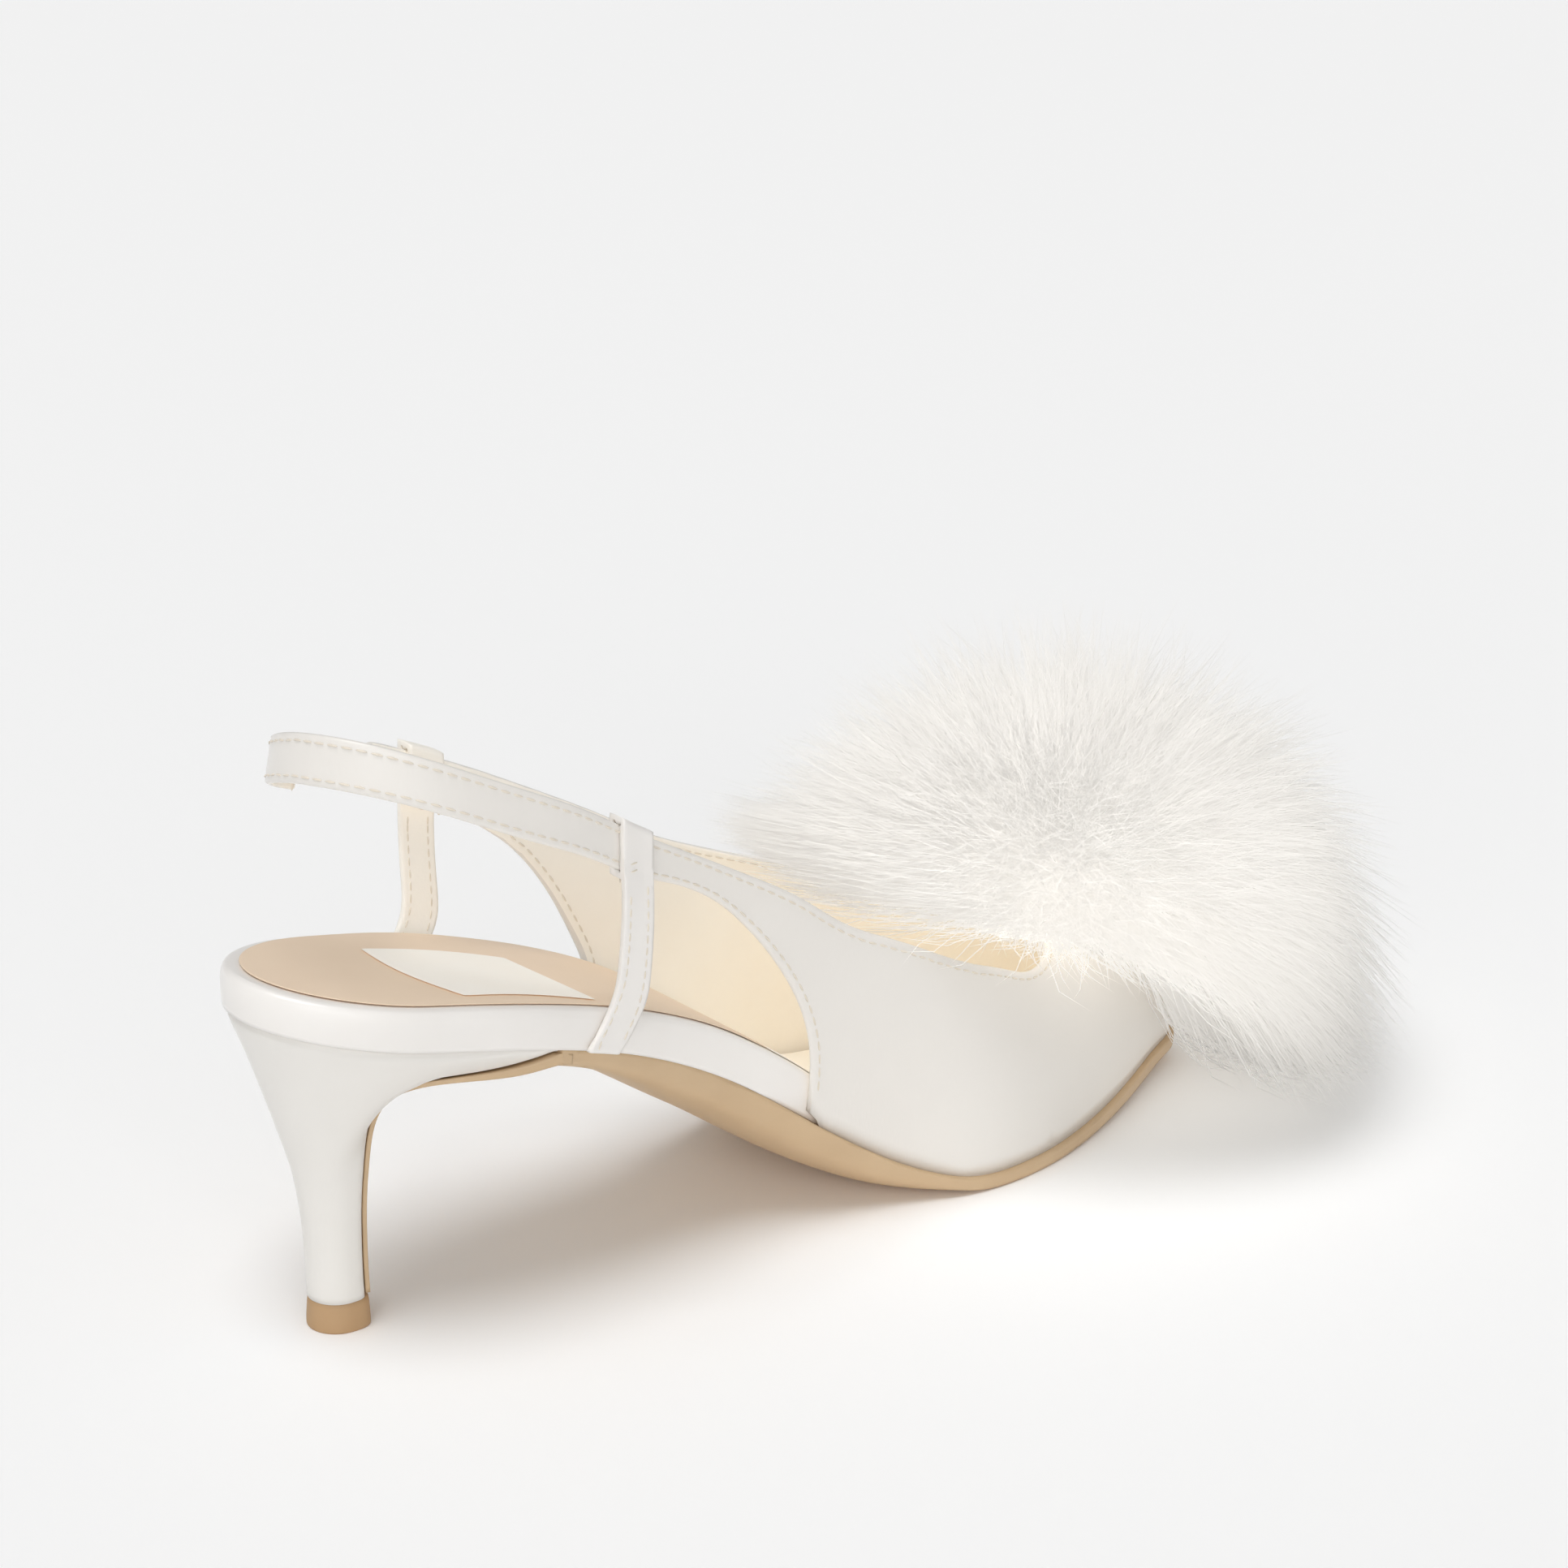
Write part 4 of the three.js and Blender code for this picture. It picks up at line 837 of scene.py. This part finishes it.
@dataclass
class Fastenings:
    """The two side stays with their loops, and the elastic that joins the sling.

    The rows run at two shares of a stay's width, from row_end_mm above its foot to
    loop_mm below its top; the tacks lie across it below the loop.
    """

    levels: int = 2
    shell_reach_mm: float = 0.62
    shell_leave_mm: float = 0.06
    stitch_shares: tuple[float, float] = (0.2, 0.8)
    row_end_mm: float = 2.5
    loop_mm: float = 14.0
    tacks_mm: tuple[float, float] = (2.5, 4.0)
    slice_mm: float = 1.3

    def build(self, upper: bpy.types.Mesh) -> list[bpy.types.Object]:
        """Makes the stays and the elastic.

        Args:
            upper: The upper's refined shell, round which the loops close.

        Returns:
            The pieces.
        """
        pieces = []
        rows: list[Matrix] = []
        stitches = StitchLine(pitch_mm=2.6, length_mm=1.9, radius_mm=0.2)
        shell = surface_tree(upper)
        for node, name, finish, slot in (
            ("side_stay_medial", "inner_stay", BOARD_SATIN, "satin"),
            ("side_stay_lateral", "outer_stay", CREAM_LEATHER, "lining"),
            ("elastic_gore", "sling_elastic", ELASTIC, "lining"),
        ):
            form = node_form(node)
            crease_sharp(form, 50, 0.7)
            mesh = smoothed(form, name, self.levels)
            close_gap(mesh, shell, self.shell_reach_mm, self.shell_leave_mm)
            pieces.append(place_piece(name, mesh, [finish], (node,)))
            if node != "elastic_gore":
                tree = surface_tree(mesh)
                for line in self.stay_lines(mesh):
                    rows += stitches.places(line, tree)
        thread = stitches.mesh(rows, "stay_stitches")
        pieces.append(place_piece("stay_stitches", thread, [THREAD_WITH_PAINTED_SHADE]))
        return pieces

    def stay_lines(self, mesh: bpy.types.Mesh) -> list[list[Vector]]:
        """Finds lines down both edges of a stay, on both of its faces.

        Args:
            mesh: The stay's refined mesh.

        Returns:
            The lines, each a list of points just off the face.
        """
        spots = np.array([v.co[:] for v in mesh.vertices])
        low = spots[:, 2].min() + self.row_end_mm * MM
        high = spots[:, 2].max() - self.loop_mm * MM
        lines = []
        for share in self.stitch_shares:
            for face in (-1.0, 1.0):
                line = []
                for height in np.linspace(low, high, 24):
                    slice_ = spots[np.abs(spots[:, 2] - height) < self.slice_mm * MM]
                    if len(slice_) < 4:
                        continue
                    left, right = slice_[:, 0].min(), slice_[:, 0].max()
                    depth = slice_[:, 1].max() if face > 0 else slice_[:, 1].min()
                    line.append(Vector((left + share * (right - left), depth, height)))
                lines.append(line)
        for height in (high + rise * MM for rise in self.tacks_mm):
            slice_ = spots[np.abs(spots[:, 2] - height) < self.slice_mm * MM]
            left, right = slice_[:, 0].min(), slice_[:, 0].max()
            start, end = (left + share * (right - left) for share in self.stitch_shares)
            row = np.linspace(start, end, 9)
            lines.append([Vector((x, slice_[:, 1].min(), height)) for x in row])
        return lines


@dataclass
class Pompom:
    """A large pompom of long fur that stands on the vamp.

    The hairs grow from a small cushion, spread outwards and hang where nothing holds
    them. free_side is the turn from the toe's direction of the side that hangs freely;
    the vamp holds up the side opposite. Over the throat they stay above a line that
    passes throat_height at throat_place, rises behind it and falls before it, except
    for a share of wisps. Lengths are in metres.
    """

    centre: tuple[float, float, float] = (0.190, -0.002, 0.050)
    core: tuple[float, float, float] = (0.036, 0.034, 0.020)
    hair: float = 0.051
    hair_radius: float = 0.00012
    per_piece: int = 11000
    pieces: int = 4
    clumps: int = 900
    free_side: float = 0.6
    lowest: float = -0.85
    held_lowest: float = 0.1
    throat_place: float = 0.168
    throat_height: float = 0.0515
    rise_behind: float = 0.42
    fall_before: float = 1.12
    throat_spread: float = 0.003
    wisp_share: float = 0.14
    wisp_drop: float = 0.012
    floor_gap: float = 0.012
    skin_gap: float = 0.0008
    skin_reach: float = 0.03
    lift: float = 0.44
    root_jitter: float = 0.16
    tip_jitter: float = 0.24
    wave: float = 0.0016
    underfur_share: float = 0.8
    ring_places: tuple[float, ...] = (0.0, 0.36, 0.7, 1.0)
    ring_widths: tuple[float, ...] = (0.7, 1.0, 0.7, 0.0)
    seed: int = 7

    def build(self, skin: bpy.types.Mesh) -> list[bpy.types.Object]:
        """Makes the underfur and the long hairs.

        Args:
            skin: The upper's refined shell, which the hairs lie on.

        Returns:
            The pieces.
        """
        rng = np.random.default_rng(self.seed)
        made = [self.underfur()]
        tree = surface_tree(skin, {Face.OUTER.value})
        clump_ways = self.directions(rng, self.clumps)
        for number in range(self.pieces):
            paths = self.paths(rng, self.per_piece, clump_ways)
            paths = self.rest_on(paths, tree, rng)
            mesh = self.strands(paths, f"long_fur_{number + 1}", rng)
            made.append(place_piece(mesh.name, mesh, [FUR], ("pompom",)))
        return made

    def underfur(self) -> bpy.types.Object:
        """Makes the dense woolly core that closes the fur.

        Returns:
            The piece.
        """
        form = bmesh.new()
        bmesh.ops.create_icosphere(form, subdivisions=5, radius=1.0)
        for vert in form.verts:
            way = vert.co.normalized()
            tufts = math.sin(23 * way.x + 5) * math.sin(19 * way.y) * math.cos(21 * way.z)
            swell = 1 + 0.06 * tufts
            held = max(0.0, -way.z)
            vert.co = Vector(
                self.centre[i]
                + self.underfur_share * way[i] * self.core[i] * swell * (1 - 0.45 * held * (i == 2))
                for i in range(3)
            )
        mesh = bpy.data.meshes.new("underfur")
        form.to_mesh(mesh)
        form.free()
        mesh.shade_smooth()
        return place_piece("underfur", mesh, [FUR], ("pompom",))

    def directions(self, rng: np.random.Generator, count: int) -> np.ndarray:
        """Picks directions all round and above the cushion.

        Args:
            rng: The random source.
            count: How many.

        Returns:
            Unit vectors, one row each.
        """
        turn = rng.uniform(0, 2 * math.pi, count)
        held = np.maximum(0, -np.cos(turn - self.free_side)) ** 0.6
        low = self.lowest + (self.held_lowest - self.lowest) * held
        up = low + (1.0 - low) * rng.uniform(0.0, 1.0, count) ** (1.3 - 0.4 * held)
        flat = np.sqrt(np.maximum(0, 1 - up * up))
        return np.stack([np.cos(turn) * flat, np.sin(turn) * flat, up], 1)

    def paths(self, rng: np.random.Generator, count: int, clumps: np.ndarray) -> np.ndarray:
        """Grows the middle lines of one piece's hairs.

        Args:
            rng: The random source.
            count: How many hairs.
            clumps: The directions of the tufts that hairs gather in.

        Returns:
            Points of each hair at its four rings: count, 4, 3.
        """
        way = self.directions(rng, count)
        nearest = np.argmax(way @ clumps.T, axis=1)
        tuft = clumps[nearest]
        depth = rng.uniform(0.7, 1.0, (count, 1))
        root = np.array(self.centre) + way * np.array(self.core) * depth
        length = self.hair * rng.uniform(0.62, 1.06, count) * (1 - 0.14 * np.abs(way[:, 1]))
        turn = np.arctan2(way[:, 1], way[:, 0])
        held = np.maximum(0, -np.cos(turn - self.free_side))
        front = np.maximum(0, np.cos(turn))
        hang = (1 - held) * (0.05 + (0.3 + 0.42 * front) * np.maximum(0, 1 - way[:, 2]) ** 1.5)
        lift = np.array([1.0, 1.0, self.lift])
        first = way * lift + rng.normal(0, self.root_jitter, (count, 3))
        last = tuft * lift + rng.normal(0, self.tip_jitter, (count, 3))
        first /= np.linalg.norm(first, axis=1, keepdims=True)
        last /= np.linalg.norm(last, axis=1, keepdims=True)
        side = np.cross(first, [0.0, 0.0, 1.0]) + 1e-6
        side /= np.linalg.norm(side, axis=1, keepdims=True)
        wave = rng.normal(0, 1, count)
        rings = []
        for t in self.ring_places:
            course = first * t + (last - first) * t * t * 0.5
            point = root + course * length[:, None]
            point[:, 2] -= hang * length * t * t
            point += side * (wave * self.wave * math.sin(3.4 * t))[:, None]
            rings.append(point)
        return np.stack(rings, 1)

    def rest_on(
        self, paths: np.ndarray, tree: BVHTree, rng: np.random.Generator
    ) -> np.ndarray:
        """Moves hairs that would pass into the vamp out onto its surface.

        Behind the throat they lie over the opening and hang a little way into it.

        Args:
            paths: The hairs' middle lines.
            tree: The vamp's outside.
            rng: The random source.

        Returns:
            The moved lines.
        """
        low = paths.reshape(-1, 3)
        near = np.nonzero((low[:, 2] < 0.075) & (low[:, 0] > self.throat_place))[0]
        for index in near:
            point = Vector(low[index])
            spot, normal, _, _ = tree.find_nearest(point, self.skin_reach)
            if spot is None:
                continue
            if (point - spot).dot(normal) < self.skin_gap:
                low[index] = spot + normal * self.skin_gap * (1 + 0.5 * (index % 5))
        back = self.throat_place - low[:, 0]
        drop = rng.uniform(0, self.wisp_drop, len(paths))
        wisps = drop * (rng.random(len(paths)) < self.wisp_share)
        loose = rng.normal(0, self.throat_spread, len(paths)) - wisps
        loose = np.repeat(loose, paths.shape[1])
        slope = np.where(back > 0, self.rise_behind, self.fall_before)
        rim = self.throat_height + slope * back + loose
        under = low[:, 2] < rim
        low[under, 2] = rim[under] - 0.15 * (rim[under] - low[under, 2])
        low[:, 2] = np.maximum(low[:, 2], self.floor_gap)
        return low.reshape(paths.shape)

    def strands(self, paths: np.ndarray, name: str, rng: np.random.Generator) -> bpy.types.Mesh:
        """Bends one tapered hair along every line.

        Args:
            paths: The hairs' middle lines.
            name: The mesh's name.
            rng: The random source.

        Returns:
            The mesh of all the hairs.
        """
        hair = bmesh.new()
        bmesh.ops.create_cone(
            hair, cap_ends=True, segments=3, radius1=1.0, radius2=0.0, depth=1.0,
            matrix=Matrix.Translation((0, 0, 0.5)),
        )
        bmesh.ops.remove_doubles(hair, verts=hair.verts, dist=1e-5)
        for height in self.ring_places[1:-1]:
            bmesh.ops.bisect_plane(
                hair, geom=hair.verts[:] + hair.edges[:] + hair.faces[:],
                plane_co=(0, 0, height), plane_no=(0, 0, 1),
            )
        hair.verts.index_update()
        shape = np.array([v.co[:] for v in hair.verts])
        faces = [[v.index for v in f.verts] for f in hair.faces]
        hair.free()
        ring = np.argmin(np.abs(shape[:, 2:3] - np.array([self.ring_places])), axis=1)
        around = shape[:, :2]
        size = np.linalg.norm(around, axis=1)
        around = around / np.maximum(size, 1e-9)[:, None] * (size > 1e-6)[:, None]
        width = np.array(self.ring_widths) * self.hair_radius
        count = len(paths)
        way = np.gradient(paths, axis=1)
        way /= np.linalg.norm(way, axis=2, keepdims=True) + 1e-12
        across = np.cross(way, rng.normal(0, 1, (count, 1, 3)))
        across /= np.linalg.norm(across, axis=2, keepdims=True) + 1e-12
        other = np.cross(way, across)
        points = (
            paths[:, ring]
            + across[:, ring] * (around[:, 0] * width[ring])[None, :, None]
            + other[:, ring] * (around[:, 1] * width[ring])[None, :, None]
        )
        mesh = self.mesh_of(points.reshape(-1, 3), faces, count, len(shape), name)
        away = (points - np.array(self.centre)) / np.array(self.core)
        away = away / np.linalg.norm(away, axis=2, keepdims=True) + np.array([0, 0, 0.35])
        away = away.reshape(-1, 3) / np.linalg.norm(away, axis=2).reshape(-1, 1)
        mesh.normals_split_custom_set_from_vertices(away.tolist())
        return mesh

    def mesh_of(
        self, points: np.ndarray, faces: list[list[int]], count: int, step: int, name: str
    ) -> bpy.types.Mesh:
        """Writes many copies of one small set of faces.

        Args:
            points: The vertices of all the copies.
            faces: The faces of one copy.
            count: How many copies.
            step: The vertices of one copy.
            name: The mesh's name.

        Returns:
            The mesh.
        """
        corners = np.concatenate([np.array(f) for f in faces])
        sizes = np.array([len(f) for f in faces])
        starts = np.concatenate([[0], np.cumsum(sizes)[:-1]])
        shift = np.arange(count)[:, None]
        mesh = bpy.data.meshes.new(name)
        mesh.vertices.add(len(points))
        mesh.vertices.foreach_set("co", points.ravel())
        mesh.loops.add(count * len(corners))
        mesh.loops.foreach_set("vertex_index", (corners[None] + shift * step).ravel())
        mesh.polygons.add(count * len(faces))
        mesh.polygons.foreach_set("loop_start", (starts[None] + shift * len(corners)).ravel())
        mesh.update(calc_edges=True)
        mesh.validate()
        mesh.shade_smooth()
        return mesh


@dataclass
class Studio:
    """The pale floor, the soft light and the camera.

    The camera's place, turn and lens are fitted to the photograph. Both suns and the
    world together light the floor as brightly as the photograph's backdrop.
    """

    camera_place: tuple[float, float, float] = (-0.37452, -0.60144, 0.36524)
    camera_turn: tuple[float, float, float] = (70.292, -0.46, -38.779)
    lens: float = 91.02
    floor_colour: str = "FFFFFF"
    floor_half: float = 12.0
    world_strength: float = 0.34

    def build(self) -> None:
        """Makes the stage and sets the scene's camera."""
        scene = bpy.context.scene
        scene.view_settings.view_transform = "Standard"
        self.floor()
        self.world(scene)
        scene.cycles.max_bounces = 16
        scene.cycles.diffuse_bounces = 12
        self.soft_sun("key_light", (-0.3, -0.05, 1.0), 1.52, 34.0)
        self.soft_sun("fill_light", (-0.7, -1.0, 0.22), 1.3, 60.0)
        data = bpy.data.cameras.new("photo_camera")
        data.lens = self.lens
        data.sensor_width = 36
        data.clip_end = 50
        camera = bpy.data.objects.new("photo_camera", data)
        camera.location = self.camera_place
        camera.rotation_euler = [math.radians(v) for v in self.camera_turn]
        scene.collection.objects.link(camera)
        scene.camera = camera

    def floor(self) -> None:
        """Makes the floor."""
        form = bmesh.new()
        bmesh.ops.create_grid(form, x_segments=2, y_segments=2, size=self.floor_half)
        mesh = bpy.data.meshes.new("studio_floor")
        form.to_mesh(mesh)
        form.free()
        material = bpy.data.materials.new("paper_backdrop")
        material.use_nodes = True
        shader = material.node_tree.nodes["Principled BSDF"]
        shader.inputs["Base Color"].default_value = linear(self.floor_colour)
        shader.inputs["Roughness"].default_value = 0.9
        shader.inputs["Specular IOR Level"].default_value = 0.1
        mesh.materials.append(material)
        floor = bpy.data.objects.new("studio_floor", mesh)
        bpy.context.scene.collection.objects.link(floor)

    def world(self, scene: bpy.types.Scene) -> None:
        """Makes the even light from all round."""
        world = bpy.data.worlds.new("studio_light")
        world.use_nodes = True
        background = world.node_tree.nodes["Background"]
        background.inputs["Color"].default_value = linear("FFFFFF")
        background.inputs["Strength"].default_value = self.world_strength
        scene.world = world

    def soft_sun(
        self, name: str, side: tuple[float, float, float], strength: float, spread: float
    ) -> None:
        """Adds one broad even light, which is as strong everywhere on the floor.

        Args:
            name: The light's name.
            side: The direction that it comes from.
            strength: Its strength.
            spread: How broad it is, in degrees.
        """
        data = bpy.data.lights.new(name, "SUN")
        data.energy = strength
        data.angle = math.radians(spread)
        light = bpy.data.objects.new(name, data)
        light.location = Vector(side)
        light.rotation_euler = Vector(side).to_track_quat("Z", "Y").to_euler()
        bpy.context.scene.collection.objects.link(light)


def main() -> None:
    """Builds the shoe's pieces in order."""
    logging.basicConfig(level=logging.INFO, format="%(name)s: %(message)s")
    Studio().build()
    Bottom().build()
    upper = Upper().build()
    Fastenings().build(upper.data)
    Pompom().build(upper.data)


if __name__ == "__main__":
    main()
